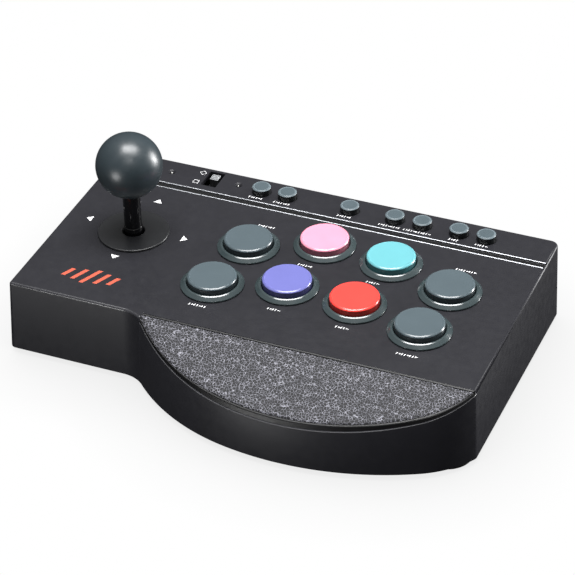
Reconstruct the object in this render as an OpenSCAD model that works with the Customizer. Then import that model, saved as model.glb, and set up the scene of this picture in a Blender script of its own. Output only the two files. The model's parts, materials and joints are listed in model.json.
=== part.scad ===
// Arcade joystick panel: a desktop controller with a ball-top stick, eight round action buttons, seven
// small function buttons, a slide switch and a padded palm rest.
// Millimetres. X runs to the right, Y to the back, Z up. The origin is on the desk plane, under the
// middle of the footprint. Sub-parts are drawn in case coordinates, where Y = 0 is the front edge of
// the panel and Z = 0 the bottom edge of the case, and placed() moves them to the origin.

/* [Case] */
// Width of the case at its bottom edge
case_w = 240.4; // [239.4:0.2:241.4]
// Distance from the front edge of the panel to the rear face
case_d = 127.7; // [127:0.1:132]
// Height of the panel's front edge above the bottom edge of the case
front_h = 37.34; // [37:0.02:40]
// Rise of the panel towards the back, in degrees
panel_slope = 1.63; // [1.2:0.01:2]
// Thickness of the panel
panel_t = 2.5; // [2.4:0.1:2.6]
// Thickness of the side walls
wall_t = 2.4; // [2:0.1:2.6]
// Overhang of the case foot in front of the panel's front edge
front_lip = 2; // [1.8:0.1:2.2]
// Radius of the rear corners in plan
rear_corner_r = 6; // [4:0.5:8]
// Radius of the front left corner in plan
front_corner_r = 3.2; // [3:0.1:4]
// Thickness of the base plate
base_t = 2.5; // [2:0.1:3]
// Height of the rubber feet below the case
foot_h = 3; // [2:0.5:5]
// Radius of a rubber foot
foot_r = 13; // [10:0.5:13.5]

/* [Palm rest] */
// Radius of the wide front arc
rest_r = 139.6; // [138:0.2:142]
// Centre of the wide front arc to the right of the case's middle
rest_x = 34.2; // [32:0.1:36]
// Reach of the palm rest in front of the panel
rest_reach = 38.2; // [36:0.1:40]
// Radius of the tighter arc at the left end
rest_left_r = 106; // [104:1:108]
// Turn from straight ahead to where the left arc begins, in degrees
rest_left_turn = 10.6; // [10:0.1:11.2]
// Radius of the arc that turns in at the right end
rest_right_r = 50; // [48:1:52]
// Turn from straight ahead to where the right arc begins, in degrees
rest_right_turn = 28; // [27:0.2:29]
// Radius of the hollow fillet between the left arc and the front face
rest_fillet_r = 16.8; // [16:0.2:17.6]
// Radius of the corner between the right arc and the right wall
rest_corner_r = 3.5; // [3.4:0.1:4]
// Fall of the leather pad towards the front, in degrees
pad_fall = 20.5; // [20:0.1:21]
// Fall of the wall's top edge around the pad, in degrees
rim_fall = 22.3; // [22:0.1:22.6]
// Drop of the wall's top edge below the panel's front edge
rim_drop = 1.04; // [0.9:0.02:1.1]
// Left end of the palm rest's frame, from the case's middle
rest_tip = -47.6; // [-48:0.1:-46]
// Distance of the pad's edge from the wall's face
pad_inset = 3; // [2.8:0.1:3.2]
// Thickness of the pad
pad_t = 2.6; // [2.4:0.1:2.7]

/* [Stick] */
// Place of the stick's axis to the right of the case's middle
stick_u = -80.34; // [-84:0.01:-78]
// Place of the stick's axis up the panel from its front edge
stick_v = 59.57; // [58:0.01:61]
// Radius of the ball top
ball_r = 16.4; // [14:0.1:18]
// Height of the ball's centre above the panel
ball_h = 39.24; // [36:0.02:44]
// Outer radius of the shaft sleeve
sleeve_r = 4.35; // [4.2:0.05:4.4]
// Radius of the steel shaft
shaft_r = 3; // [2.9:0.05:3]
// Depth of the tilt pivot below the panel's surface
pivot_h = 10; // [10:0.1:10.2]
// Radius of the dust washer
washer_r = 17.83; // [16:0.01:19]

/* [Buttons] */
// Radius of an action button's cap
cap_r = 11.97; // [11.5:0.01:12]
// Height of a cap's face above the panel
cap_h = 5.63; // [4:0.01:6.5]
// Travel of an action button
cap_travel = 2; // [1:0.1:2]
// Outer radius of a button's collar
collar_r = 15.43; // [15:0.01:16]
// Radius of a function button
key_r = 4.77; // [4:0.01:5]
// Height of a function button above the panel
key_h = 3.75; // [2.5:0.01:4.5]
// Travel of a function button
key_travel = 0.5; // [0.2:0.1:0.5]

/* [Hidden] */
$fn = 96;

CAP_NODES = [
    "grey_button_upper_left", "pink_button", "cyan_button", "grey_button_upper_right",
    "grey_button_lower_left", "violet_button", "red_button", "grey_button_lower_right"
];
CAP_PLACES = [
    [-22.27, 68.09], [12.37, 81.87], [48.10, 78.78], [82.34, 66.86],
    [-26.02, 32.81], [8.37, 43.45], [43.67, 41.33], [79.31, 32.83]
];
SLATE = [0.40, 0.46, 0.48];
CAP_COLOURS = [
    SLATE, [0.98, 0.62, 0.83], [0.35, 0.85, 0.85], SLATE,
    SLATE, [0.48, 0.46, 0.88], [0.93, 0.18, 0.15], SLATE
];
KEY_NODES = [
    "turbo_key", "macro_key", "home_key", "share_key", "options_key", "left_press_key", "right_press_key"
];
KEY_V = 114.89;
KEY_U = [-35.07, -20.96, 12.67, 36.62, 51.02, 70.20, 84.31];

// Clearances
gap = 0.05;          // between parts that touch or slide
hole_play = 0.1;     // between a cap's stem and its guide
fixed_gap = 0.15;    // round fixed parts that drop into a recess

// Case
half_w = case_w / 2;
front_y = -front_lip;
arc_c = [rest_x, rest_r - rest_reach];
mid_y = (case_d - rest_reach) / 2;
base_z = 0.3;
base_top = base_z + base_t;
foot_sink = 0.5;
foot_stem_r = foot_r - 3.5;
foot_places = [[104.5, 1.5], [-103, 17], [-103, 111], [103, 111]];
tall = 60;           // more than the height of the case
far = 200;           // more than the reach of the case

// Palm rest
rest_overlap = 5;    // how far the rest's outline reaches back into the case
rim_overlap = 1;     // how far the rest's block runs into the panel's
rim_t = 2;           // wall left standing round the frame
frame_ledge = 0.6;   // how far the frame's edge stands back from the wall's face
pad_edge = 0.5;      // frame left standing behind the pad
pad_back = fixed_gap + pad_edge + gap;
tray_t = 1.5;
tray_drop = pad_t + tray_t;
deck_t = 2.2;
palm_screw_places = [[-14, 9], [34, 25], [84, 11]];

// Screws
pilot_r = 1.25;
shank_r = 1.2;
clear_r = 1.6;
head_r = 2.5;
head_h = 1.6;
boss_r = 3.2;
base_screw_places = [[-113.2, 27], [113.2, 27], [-113.2, 96], [113.2, 96], [34.2, -30], [-50, 97.5]];
weight_box = [-30, 20, 90, 95];
weight_t = 3;

// Trim
trim_v = [101.49, 105.80];
trim_w = 1.1;
trim_sink = 0.8;
trim_end = 118;
trim_proud = 0.1;
trim_mid = (trim_v[0] + trim_v[1]) / 2;

// Action buttons
bezel_h = 2.5;
bezel_lip_r = 13;
barrel_r = 13.2;
barrel_end = -13;
guide_t = 2;
cap_play = 0.23;
stem_r = 3;
skirt_end = barrel_end + guide_t + cap_travel + 0.3;
stem_end = -14;
board_t = 1.6;
main_board_h = -24;
switch_size = [12.8, 5.8, 6.4];
board_post_r = 3;
main_board_box = [-45, 11, 102, 104];
main_screw_places = [[-40, 16], [-40, 98], [97, 98], [97, 16], [28, 61.5]];

// Function buttons and slide switch
key_board_h = -12;
key_flange_r = 5.8;
key_stem_end = -7;
key_board_box = [-104, 107, 101, 123];
key_screw_places = [[-99, 115], [-4, 115], [96, 115]];
slide_slot = [8.2, 13];
slide_at = [-62.9, 116.9];
slide_knob_size = [4.6, 4.6];
slide_knob_v = 120;
slide_body_top = -6;
lens_places = [[-85.5, 116.1], [-48.7, 116.8]];
lens_r = 0.95;
lens_top = -0.5;
dimple_r = 2.2;
dimple_h = 0.9;
usb_u = 60.6;
usb_size = [9, 8.4, 3.2];
usb_back = 126.9;

// Stick mechanism, as heights from the panel's surface
stick_at = [stick_u, stick_v];
plate_half = 27;
plate_low = -5.5;
slider_size = [28, 26, 1.2];
slider_top = -2.65;
slider_travel = 1.6;
throat_r = 7;        // hole under the slider that the tilted sleeve dips into
tube_r = 6.3;
tube_bore_r = 5.3;
tube_end = -3.6;
washer_t = 1.2;
tube_sway = 2.3;
ring_r = 9.5;
ring_bore_r = 6.5;
ring_h = 4.4;
trunnion_r = 1.6;
pin_r = 1.4;
ear_x = [10.1, 14.1];
cage_low = -16;
cage_floor_t = 1.5;
spring_r = 6;
spring_wire_r = 0.6;
spring_turns = 4;
cup_top = -22;
cup_r = 7.8;
actuator_r = 6;
actuator_h = [-27.95, -23.25];
clip_h = [-28.6, -28.1];
shaft_end = -32.3;
stick_board_top = -28.95;
stick_board_t = 1.2;
gate_top = -30.2;
gate_t = 1.5;
gate_half = 7.1;
post_at = 23;
plunger_reach = 9.4;

// Wiring
connector_size = [4, 12, 3.5];
stick_plug_u = stick_u + post_at;
main_plug_u = -41;
link_u = 30;
key_plug_v = 112;
main_plug_v = 98;
ribbon_t = 0.8;
ribbon_w = 10;

// ---------- placing ----------

// Case coordinates to the part's own frame.
module placed() {
    translate([0, -mid_y, foot_h]) children();
}

// A place on the panel: u across, v up the slope from the front edge, h out of the surface.
module on_panel(u, v, h = 0) {
    translate([0, 0, front_h]) rotate([panel_slope, 0, 0]) translate([u, v, h]) children();
}

// A place on the pad's plane: u across, d down the slope from the panel's front edge, h out of it.
module on_pad(u, d, h = 0) {
    translate([0, 0, front_h]) rotate([pad_fall, 0, 0]) translate([u, -d, h]) children();
}

module on_stick(h = 0) {
    on_panel(stick_at.x, stick_at.y, h) children();
}

// Everything below the plane that crosses Y = 0 at height z and rises to the back by angle.
module below(z, angle) {
    translate([0, 0, z]) rotate([angle, 0, 0]) translate([-far, -far, -far]) cube([2 * far, 2 * far, far]);
}

// Everything above the same plane.
module above(z, angle) {
    translate([0, 0, z]) rotate([angle, 0, 0]) translate([-far, -far, 0]) cube([2 * far, 2 * far, far]);
}

// ---------- shared shapes ----------

module disc(r, low, high) {
    translate([0, 0, low]) cylinder(r = r, h = high - low);
}

module ring(r, bore_r, low, high) {
    difference() {
        disc(r, low, high);
        disc(bore_r, low - 1, high + 1);
    }
}

// A box centred in plan, between two heights.
module slab(size, low, high) {
    translate([-size.x / 2, -size.y / 2, low]) cube([size.x, size.y, high - low]);
}

// A board over box = [u0, v0, u1, v1] on the panel's slope, with its top at height top.
module board(box, top, thick) {
    on_panel(box[0], box[1], top - thick) cube([box[2] - box[0], box[3] - box[1], thick]);
}

// A pan-head screw along +Z, with its head under Z = 0 and a cross recess in the head.
module screw(length, r = head_r) {
    cross = [0.7, 2.6];
    difference() {
        disc(r, -head_h, 0);
        slab(cross, -head_h - 1, -head_h / 2);
        slab([cross.y, cross.x], -head_h - 1, -head_h / 2);
    }
    disc(shank_r, -0.2, length);
}

// What a rounded corner takes off a square one at corner, pointing to side = [+-1, +-1].
module corner_waste(corner, side, r) {
    translate(corner - side * r) difference() {
        translate([min(side.x, 0), min(side.y, 0)] * 2 * r) square(2 * r);
        circle(r);
    }
}

// ---------- plan outlines as upright prisms, each set back from the wall's face by inset ----------

// All but the first of a list of points.
function tail(points) = [for (i = [1 : len(points) - 1]) points[i]];

module prism(points) {
    translate([0, 0, -1]) linear_extrude(tall) polygon(points);
}

module main_prism(inset = 0) {
    x = half_w - inset;
    front = front_y + inset;
    rear = case_d - inset;
    translate([0, 0, -1]) linear_extrude(tall) difference() {
        translate([-x, front]) square([2 * x, rear - front]);
        for (side = [-1, 1]) corner_waste([side * x, rear], [side, 1], rear_corner_r - inset);
        corner_waste([-x, front], [-1, -1], front_corner_r - inset);
    }
}

// Points along an arc, in order from angle a to angle b.
function arc_points(centre, r, a, b, step) =
    let (count = ceil(abs(b - a) / step))
    [for (i = [0 : count]) centre + r * [cos(a + (b - a) * i / count), sin(a + (b - a) * i / count)]];

// The palm rest in front of Y = back and to the right of X = left: a hollow fillet out of the front
// face, then a left, a wide and a right arc that run on from each other, and a rounded corner at the
// right wall.
module rest_prism(inset = 0, back = rest_overlap, left = -far) {
    left_aim = 270 - rest_left_turn;
    right_aim = 270 + rest_right_turn;
    left_c = arc_c + (rest_r - rest_left_r) * [cos(left_aim), sin(left_aim)];
    right_c = arc_c + (rest_r - rest_right_r) * [cos(right_aim), sin(right_aim)];
    fillet_y = front_y - rest_fillet_r;
    fillet_reach = rest_left_r + rest_fillet_r;
    fillet_c = [left_c.x - sqrt(fillet_reach ^ 2 - (left_c.y - fillet_y) ^ 2), fillet_y];
    fillet_end = asin((left_c.y - fillet_y) / fillet_reach);
    corner_reach = rest_right_r - rest_corner_r;
    corner_turn = acos((half_w - rest_corner_r - right_c.x) / corner_reach);
    corner_c = right_c + corner_reach * [cos(corner_turn), -sin(corner_turn)];
    difference() {
        prism(concat(
            [[half_w - inset, rest_overlap], [fillet_c.x, rest_overlap]],
            arc_points(fillet_c, rest_fillet_r + inset, 90, fillet_end, 7),
            tail(arc_points(left_c, rest_left_r - inset, 180 + fillet_end, left_aim, 2)),
            tail(arc_points(arc_c, rest_r - inset, left_aim, right_aim, 1.6)),
            tail(arc_points(right_c, rest_right_r - inset, right_aim, 360 - corner_turn, 3)),
            tail(arc_points(corner_c, rest_corner_r - inset, 360 - corner_turn, 360, 12))
        ));
        if (back < rest_overlap) translate([-far, back, -tall]) cube([2 * far, far, 3 * tall]);
        if (left > -far) translate([left - far, -far, -tall]) cube([far, 2 * far, 3 * tall]);
    }
}

// The panel's plan: all of the outline, less what the palm rest takes in front of Y = 0.
module panel_prism() {
    difference() {
        union() {
            main_prism();
            rest_prism();
        }
        translate([rest_tip, -far, -tall]) cube([case_w, far, 3 * tall]);
    }
}

// ---------- case ----------

module case_block() {
    intersection() {
        panel_prism();
        below(front_h, panel_slope);
        translate([-far, -far, 0]) cube([2 * far, 2 * far, tall]);
    }
    intersection() {
        rest_prism(0, rim_overlap, rest_tip - rim_overlap);
        below(front_h - rim_drop, rim_fall);
        translate([-far, -far, 0]) cube([2 * far, 2 * far, tall]);
    }
}

module case_hollow() {
    hollow_fall = front_h - tray_drop - deck_t;
    intersection() {
        main_prism(wall_t);
        below(front_h - panel_t, panel_slope);
        translate([-far, wall_t, -1]) cube([2 * far, far, tall]);
    }
    intersection() {
        union() {
            main_prism(wall_t);
            rest_prism(wall_t);
        }
        below(hollow_fall, pad_fall);
        translate([-far, -far, -1]) cube([2 * far, far + wall_t + 1, hollow_fall]);
    }
}

// The space above the palm rest's deck that the frame drops into.
module frame_recess() {
    intersection() {
        rest_prism(rim_t, 0, rest_tip);
        above(front_h - tray_drop - fixed_gap, pad_fall);
    }
}

module base_bosses() {
    intersection() {
        for (p = base_screw_places) translate(p) disc(boss_r + 0.6, base_top + gap, tall);
        union() {
            intersection() {
                below(front_h - panel_t / 2, panel_slope);
                translate([-far, 0, 0]) cube([2 * far, far, tall]);
            }
            intersection() {
                below(front_h - tray_drop - deck_t / 2, pad_fall);
                translate([-far, -far, 0]) cube([2 * far, far, tall]);
            }
        }
        union() {
            main_prism(wall_t / 2);
            rest_prism(wall_t / 2);
        }
    }
}

module board_posts(places, board_h) {
    for (p = places) on_panel(p.x, p.y) disc(board_post_r, board_h + gap, -panel_t / 2);
}

module panel_holes() {
    for (p = CAP_PLACES) on_panel(p.x, p.y) disc(barrel_r + fixed_gap, -panel_t - 1, 1);
    for (u = KEY_U) on_panel(u, KEY_V) disc(key_r + fixed_gap, -panel_t - 1, 1);
    for (p = lens_places) on_panel(p.x, p.y) {
        disc(lens_r + gap, -panel_t - 1, 1);
        translate([0, 0, -dimple_h])
            cylinder(r1 = lens_r + gap, r2 = 2 * dimple_r - lens_r - gap, h = 2 * dimple_h);
    }
    on_panel(slide_at.x, slide_at.y) slab(slide_slot, -panel_t - 1, 1);
    on_stick() disc(tube_r + tube_sway, -panel_t - 1, 1);
    for (v = trim_v) on_panel(0, v) slab([2 * (trim_end + gap), trim_w + 2 * gap], -trim_sink, 1);
    on_panel(0, trim_mid) slab([2 * (trim_end + gap), trim_v[1] - trim_v[0]], -trim_sink, 1);
}

module pilot_holes() {
    for (p = base_screw_places) translate([p.x, p.y, 0]) disc(pilot_r, 0, base_top + 12);
    for (p = main_screw_places) on_panel(p.x, p.y) disc(pilot_r, main_board_h - 1, main_board_h + 12);
    for (p = key_screw_places) on_panel(p.x, p.y) disc(pilot_r, key_board_h - 1, -panel_t);
    for (p = frame_screw_places()) on_stick() translate(p) disc(pilot_r, -panel_t - 1, -0.8);
    for (p = palm_screw_places) on_pad(p.x, p.y) disc(boss_r + fixed_gap, -tall / 3, 0);
}

module top_case() {
    color([0.17, 0.17, 0.18]) difference() {
        union() {
            difference() {
                case_block();
                case_hollow();
                frame_recess();
            }
            base_bosses();
            board_posts(main_screw_places, main_board_h);
            board_posts(key_screw_places, key_board_h);
        }
        panel_holes();
        pilot_holes();
        on_panel(usb_u, usb_back, key_board_h)
            translate([-usb_size.x / 2 - fixed_gap, -6, -fixed_gap])
            cube([usb_size.x + 2 * fixed_gap, 12, usb_size.z + 2 * fixed_gap]);
        for (side = [-1, 1]) translate([side * half_w, 0, 0]) trim_tab(gap);
    }
}

module base_plate() {
    inset = wall_t + 0.3;
    color([0.12, 0.12, 0.13]) difference() {
        intersection() {
            union() {
                main_prism(inset);
                rest_prism(inset);
            }
            translate([-far, -far, base_z]) cube([2 * far, 2 * far, base_t]);
        }
        for (p = foot_places) translate(p) disc(foot_stem_r + fixed_gap, 0, base_z + foot_sink);
        for (p = base_screw_places) translate(p) {
            disc(clear_r, 0, base_top + 1);
            disc(head_r + 0.5, 0, base_z + head_h);
        }
        for (p = weight_screw_places()) translate(p) disc(pilot_r, base_z + 0.8, base_top + 1);
    }
}

module rubber_feet() {
    edge = 0.6;
    color([0.05, 0.05, 0.05]) for (p = foot_places) translate(p) {
        disc(foot_stem_r, -gap - edge, base_z + foot_sink);
        disc(foot_r, -foot_h + edge, -gap);
        disc(foot_r - edge, -foot_h, -foot_h + 2 * edge);
    }
}

module base_screws() {
    color("silver") for (p = base_screw_places) translate([p.x, p.y, base_z + head_h]) screw(12);
}

function weight_screw_places() =
    let (inset = 6)
    let (xs = [weight_box[0] + inset, weight_box[2] - inset])
    let (ys = [weight_box[1] + inset, weight_box[3] - inset])
    [for (x = xs, y = ys) [x, y]];

module weight_plate() {
    color([0.45, 0.46, 0.48]) difference() {
        translate([weight_box[0], weight_box[1], base_top + gap])
            cube([weight_box[2] - weight_box[0], weight_box[3] - weight_box[1], weight_t]);
        for (p = weight_screw_places()) translate(p) disc(clear_r, base_top - 1, base_top + weight_t + 1);
    }
}

module weight_screws() {
    color("silver") for (p = weight_screw_places())
        translate([p.x, p.y, base_top + weight_t + 2 * gap]) mirror([0, 0, 1]) screw(weight_t + 1.2);
}

// ---------- palm rest ----------

module palm_rest_frame() {
    lip_top = front_h + 0.1;
    back = -fixed_gap;
    left = rest_tip + fixed_gap;
    color([0.06, 0.06, 0.06]) difference() {
        union() {
            intersection() {
                rest_prism(frame_ledge, back, left);
                above(front_h - rim_drop + gap, rim_fall);
                below(lip_top, pad_fall);
            }
            intersection() {
                rest_prism(rim_t + fixed_gap, back, left);
                above(front_h - tray_drop, pad_fall);
                below(lip_top, pad_fall);
            }
            for (p = palm_screw_places) on_pad(p.x, p.y) disc(boss_r, -tray_drop - deck_t, -tray_drop + 0.5);
        }
        intersection() {
            rest_prism(pad_inset, back - pad_edge, left + pad_edge);
            above(front_h - pad_t, pad_fall);
        }
        for (p = palm_screw_places) on_pad(p.x, p.y) disc(pilot_r, -tall / 3, -pad_t - 0.6);
    }
}

module palm_pad() {
    color([0.22, 0.22, 0.23]) intersection() {
        rest_prism(pad_inset + gap, -pad_back, rest_tip + pad_back);
        above(front_h - pad_t + gap, pad_fall);
        below(front_h, pad_fall);
    }
}

module palm_frame_screws() {
    color("silver") for (p = palm_screw_places)
        on_pad(p.x, p.y, -tray_drop - deck_t - fixed_gap - gap) screw(deck_t + 0.8, boss_r + 1.2);
}

// ---------- trim ----------

// The end of the trim on the case's side, with its outer face at X = 0.
module trim_tab(extra = 0) {
    tab_h = 1.2;
    on_panel(0, trim_mid, -3)
        slab([2 * trim_sink + 2 * extra, trim_v[1] - trim_v[0] + trim_w + 2 * extra], -tab_h - extra, extra);
}

module trim_strip() {
    web_t = 0.3;
    low = -trim_sink + gap;
    color("silver") {
        for (v = trim_v) on_panel(0, v) slab([2 * trim_end, trim_w], low, trim_proud);
        on_panel(0, trim_mid) slab([2 * trim_end, trim_v[1] - trim_v[0]], low, low + web_t);
        for (side = [-1, 1]) intersection() {
            translate([side * half_w, 0, 0]) trim_tab();
            translate([-half_w, 0, 0]) cube([case_w, far, tall]);
        }
    }
}

// ---------- action buttons ----------

// Collar and guide barrel, turned about the button's axis. The profile is [radius, height].
module button_housing() {
    bore = cap_r + cap_play;
    rotate_extrude() polygon([
        [bore, barrel_end], [barrel_r, barrel_end], [barrel_r, gap], [collar_r, gap], [collar_r, 1],
        [bezel_lip_r + 0.9, bezel_h - 0.6], [bezel_lip_r + 0.2, bezel_h], [bezel_lip_r - 0.3, bezel_h],
        [bore, bezel_h - 0.4]
    ]);
    ring(barrel_r, stem_r + hole_play, barrel_end, barrel_end + guide_t);
    for (side = [-1, 1]) snap_tab(side);
}

module snap_tab(side) {
    translate([side * (barrel_r - 0.1), 0, 0]) slab([1.6, 6], -panel_t - 2.4, -panel_t - gap);
}

module button_housings() {
    color([0.30, 0.34, 0.35]) for (p = CAP_PLACES) on_panel(p.x, p.y) button_housing();
}

// A cup with a domed rim and a central stem that pushes the switch.
module button_cap(i) {
    edge = 1;
    skirt_t = 1.6;
    face_t = 2;
    color(CAP_COLOURS[i]) on_panel(CAP_PLACES[i].x, CAP_PLACES[i].y) {
        rotate_extrude() polygon([
            [0, cap_h - face_t], [cap_r - skirt_t, cap_h - face_t], [cap_r - skirt_t, skirt_end],
            [cap_r, skirt_end], [cap_r, cap_h - edge], [cap_r - edge * 0.3, cap_h - edge * 0.3],
            [cap_r - edge, cap_h], [0, cap_h]
        ]);
        disc(stem_r, stem_end, cap_h - face_t + 0.5);
    }
}

module microswitch() {
    plunger_top = stem_end - cap_travel - gap;
    low = main_board_h + gap;
    slab(switch_size, low, low + switch_size.z);
    slab([2.9, 1.4], low + switch_size.z - 0.5, plunger_top);
}

module microswitches() {
    color([0.10, 0.10, 0.11]) for (p = CAP_PLACES) on_panel(p.x, p.y) microswitch();
}

module main_board() {
    color([0.05, 0.30, 0.14]) difference() {
        board(main_board_box, main_board_h, board_t);
        for (p = main_screw_places) on_panel(p.x, p.y, main_board_h) disc(clear_r, -board_t - 1, 1);
    }
}

module board_screws() {
    color("silver") {
        for (p = main_screw_places) on_panel(p.x, p.y, main_board_h - board_t - gap) screw(board_t + 8);
        for (p = key_screw_places) on_panel(p.x, p.y, key_board_h - board_t - gap) screw(board_t + 8);
    }
}

module controller_chips() {
    chips = [[26, 24, 12, 12], [64, 56, 9, 5], [62, 20, 8, 8]];
    chip_h = 1.6;
    color([0.08, 0.08, 0.08]) for (c = chips) on_panel(c[0], c[1], main_board_h + gap)
        slab([c[2], c[3]], 0, chip_h);
}

// ---------- function buttons, slide switch, lamps and socket ----------

module key_cap(i) {
    edge = 0.5;
    color(SLATE) on_panel(KEY_U[i], KEY_V) {
        rotate_extrude() polygon([
            [0, -4.2], [key_flange_r, -4.2], [key_flange_r, -panel_t - 0.25], [key_r, -panel_t - 0.25],
            [key_r, key_h - edge], [key_r - edge, key_h], [0, key_h]
        ]);
        disc(1.5, key_stem_end, -4);
    }
}

module function_board() {
    color([0.05, 0.30, 0.14]) difference() {
        board(key_board_box, key_board_h, board_t);
        for (p = key_screw_places) on_panel(p.x, p.y, key_board_h) disc(clear_r, -board_t - 1, 1);
    }
}

module tact_switches() {
    color([0.15, 0.15, 0.15]) for (u = KEY_U) on_panel(u, KEY_V) {
        slab([6, 6], key_board_h + gap, key_board_h + 3.4);
        disc(1.7, key_board_h + 3, key_stem_end - key_travel - gap);
    }
}

module slide_switch_body() {
    color([0.10, 0.10, 0.10]) on_panel(slide_at.x, slide_at.y) difference() {
        slab([7.4, 15], key_board_h + gap, slide_body_top);
        slab([2.4, 11.8], slide_body_top - 3, slide_body_top + 1);
    }
}

module slide_knob() {
    color([0.75, 0.76, 0.77]) on_panel(slide_at.x, slide_knob_v) {
        slab(slide_knob_size, slide_body_top + gap, -0.3);
        slab([2.2, 2.2], slide_body_top - 2.5, slide_body_top + 1);
    }
}

module indicator_lenses() {
    color([0.95, 0.95, 0.92]) for (p = lens_places) on_panel(p.x, p.y) {
        disc(lens_r, -panel_t - 0.5, lens_top);
        disc(2 * lens_r, -panel_t - 1.2, -panel_t - gap);
    }
}

module indicator_leds() {
    color([0.90, 0.92, 0.95]) for (p = lens_places) on_panel(p.x, p.y) {
        disc(1.5, key_board_h + gap, key_board_h + 5);
        disc(1.8, key_board_h + gap, key_board_h + 1);
    }
}

module usb_socket() {
    shell = 0.4;
    back_t = 1.2;
    tongue = [6.3, 6.5, 0.7];
    color("silver") on_panel(usb_u, usb_back - usb_size.y, key_board_h + gap) {
        difference() {
            translate([-usb_size.x / 2, 0, 0]) cube(usb_size);
            translate([shell - usb_size.x / 2, back_t, shell])
                cube([usb_size.x - 2 * shell, usb_size.y, usb_size.z - 2 * shell]);
        }
        translate([-tongue.x / 2, back_t / 2, (usb_size.z - tongue.z) / 2]) cube(tongue);
    }
}

// ---------- stick: fixed parts ----------

function frame_screw_places() = [[24.3, 0], [-24.3, 0], [0, 24.3], [0, -24.3]];
function post_places() = [for (x = [-1, 1], y = [-1, 1]) [x, y] * post_at];

module stick_cage() {
    ear_w = ear_x[1] - ear_x[0];
    floor_w = 14;
    for (side = [-1, 1]) translate([side * (ear_x[0] + ear_w / 2), 0, 0])
        slab([ear_w, floor_w], cage_low, plate_low + 0.5);
    slab([2 * ear_x[1], floor_w], cage_low, cage_low + cage_floor_t);
}

module stick_frame() {
    pocket = [slider_size.x + 2 * (slider_travel + 0.3), slider_size.y + 2 * gap];
    color([0.20, 0.20, 0.21]) on_stick() difference() {
        union() {
            slab([2 * plate_half, 2 * plate_half], plate_low, -panel_t - gap);
            stick_cage();
            for (p = post_places()) translate(p) disc(boss_r, stick_board_top + gap, plate_low + 1);
        }
        slab(pocket, slider_top - slider_size.z - fixed_gap, 0);
        disc(throat_r, plate_low - 1, 0);
        disc(shaft_r + 1.9, cage_low - 1, cage_low + cage_floor_t + 1);
        translate([-far / 2, 0, -pivot_h]) rotate([0, 90, 0]) cylinder(r = trunnion_r + gap, h = far);
        for (p = frame_screw_places()) translate(p) disc(clear_r, plate_low - 1, 0);
        for (p = post_places()) translate(p) disc(pilot_r, stick_board_top - 1, stick_board_top + 10);
    }
}

module frame_screws() {
    shank = -plate_low - 0.95;
    color("silver") for (p = frame_screw_places()) on_stick(plate_low - gap) translate(p) screw(shank);
}

module stick_board() {
    color([0.05, 0.30, 0.14]) on_stick() difference() {
        slab([2 * plate_half, 2 * plate_half], stick_board_top - stick_board_t, stick_board_top);
        disc(plunger_reach + 0.4, stick_board_top - 5, stick_board_top + 1);
        for (p = post_places()) translate(p) disc(clear_r, stick_board_top - 5, stick_board_top + 1);
    }
}

module stick_switches() {
    body_in = plunger_reach + 1;
    plunger = [1.5, 2.9, 2];
    color([0.10, 0.10, 0.11]) on_stick(stick_board_top + gap) for (turn = [0 : 90 : 270])
        rotate([0, 0, turn]) {
            translate([body_in, -switch_size.x / 2, 0]) cube([switch_size.z, switch_size.x, switch_size.y]);
            translate([plunger_reach, -plunger.y / 2, 2]) cube(plunger);
        }
}

module restrictor_gate() {
    color([0.85, 0.85, 0.80]) on_stick() difference() {
        slab([2 * plate_half, 2 * plate_half], gate_top - gate_t, gate_top);
        slab([2 * gate_half, 2 * gate_half], gate_top - gate_t - 1, gate_top + 1);
        for (p = post_places()) translate(p) disc(clear_r, gate_top - gate_t - 1, gate_top + 1);
    }
}

module gate_screws() {
    color("silver") for (p = post_places()) on_stick(gate_top - gate_t - gap) translate(p) screw(11);
}

// ---------- stick: moving parts ----------

module gimbal_ring() {
    color([0.80, 0.80, 0.76]) on_stick(-pivot_h) difference() {
        union() {
            disc(ring_r, -ring_h / 2, ring_h / 2);
            translate([-13.4, 0, 0]) rotate([0, 90, 0]) cylinder(r = trunnion_r, h = 26.8);
        }
        disc(ring_bore_r, -ring_h, ring_h);
        translate([0, ring_r + 1, 0]) rotate([90, 0, 0]) cylinder(r = pin_r + gap, h = 2 * ring_r + 2);
    }
}

module stick_shaft() {
    hub_r = 5;
    color("silver") on_stick() difference() {
        union() {
            disc(shaft_r, shaft_end, ball_h + 2);
            disc(hub_r, -pivot_h - ring_h / 2, -pivot_h + ring_h / 2);
        }
        translate([0, hub_r + 1, -pivot_h]) rotate([90, 0, 0])
            cylinder(r = pin_r + gap / 2, h = 2 * hub_r + 2);
        ring(shaft_r + 1, shaft_r - 0.7, clip_h[0] - gap, clip_h[1] + gap);
    }
}

module pivot_pin() {
    pin_half = 9;
    color("silver") on_stick(-pivot_h) translate([0, pin_half, 0]) rotate([90, 0, 0])
        cylinder(r = pin_r, h = 2 * pin_half);
}

module shaft_sleeve() {
    color([0.03, 0.03, 0.03]) on_stick() ring(sleeve_r, shaft_r + gap, -3.4, ball_h - ball_r + 0.45);
}

module ball_top() {
    color([0.28, 0.33, 0.35]) on_stick(ball_h) difference() {
        sphere(r = ball_r);
        disc(ball_r, -ball_r - 1, -ball_r + 0.5);
        disc(shaft_r + gap, -ball_r - 1, 2.1);
    }
}

// One point of the spring's wire: turn t of the coil, and angle a round the wire.
function wire_point(t, a, rise) =
    let (r = spring_r + spring_wire_r * cos(a))
    [r * cos(t), r * sin(t), rise * t / 360 + spring_wire_r * sin(a)];

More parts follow.
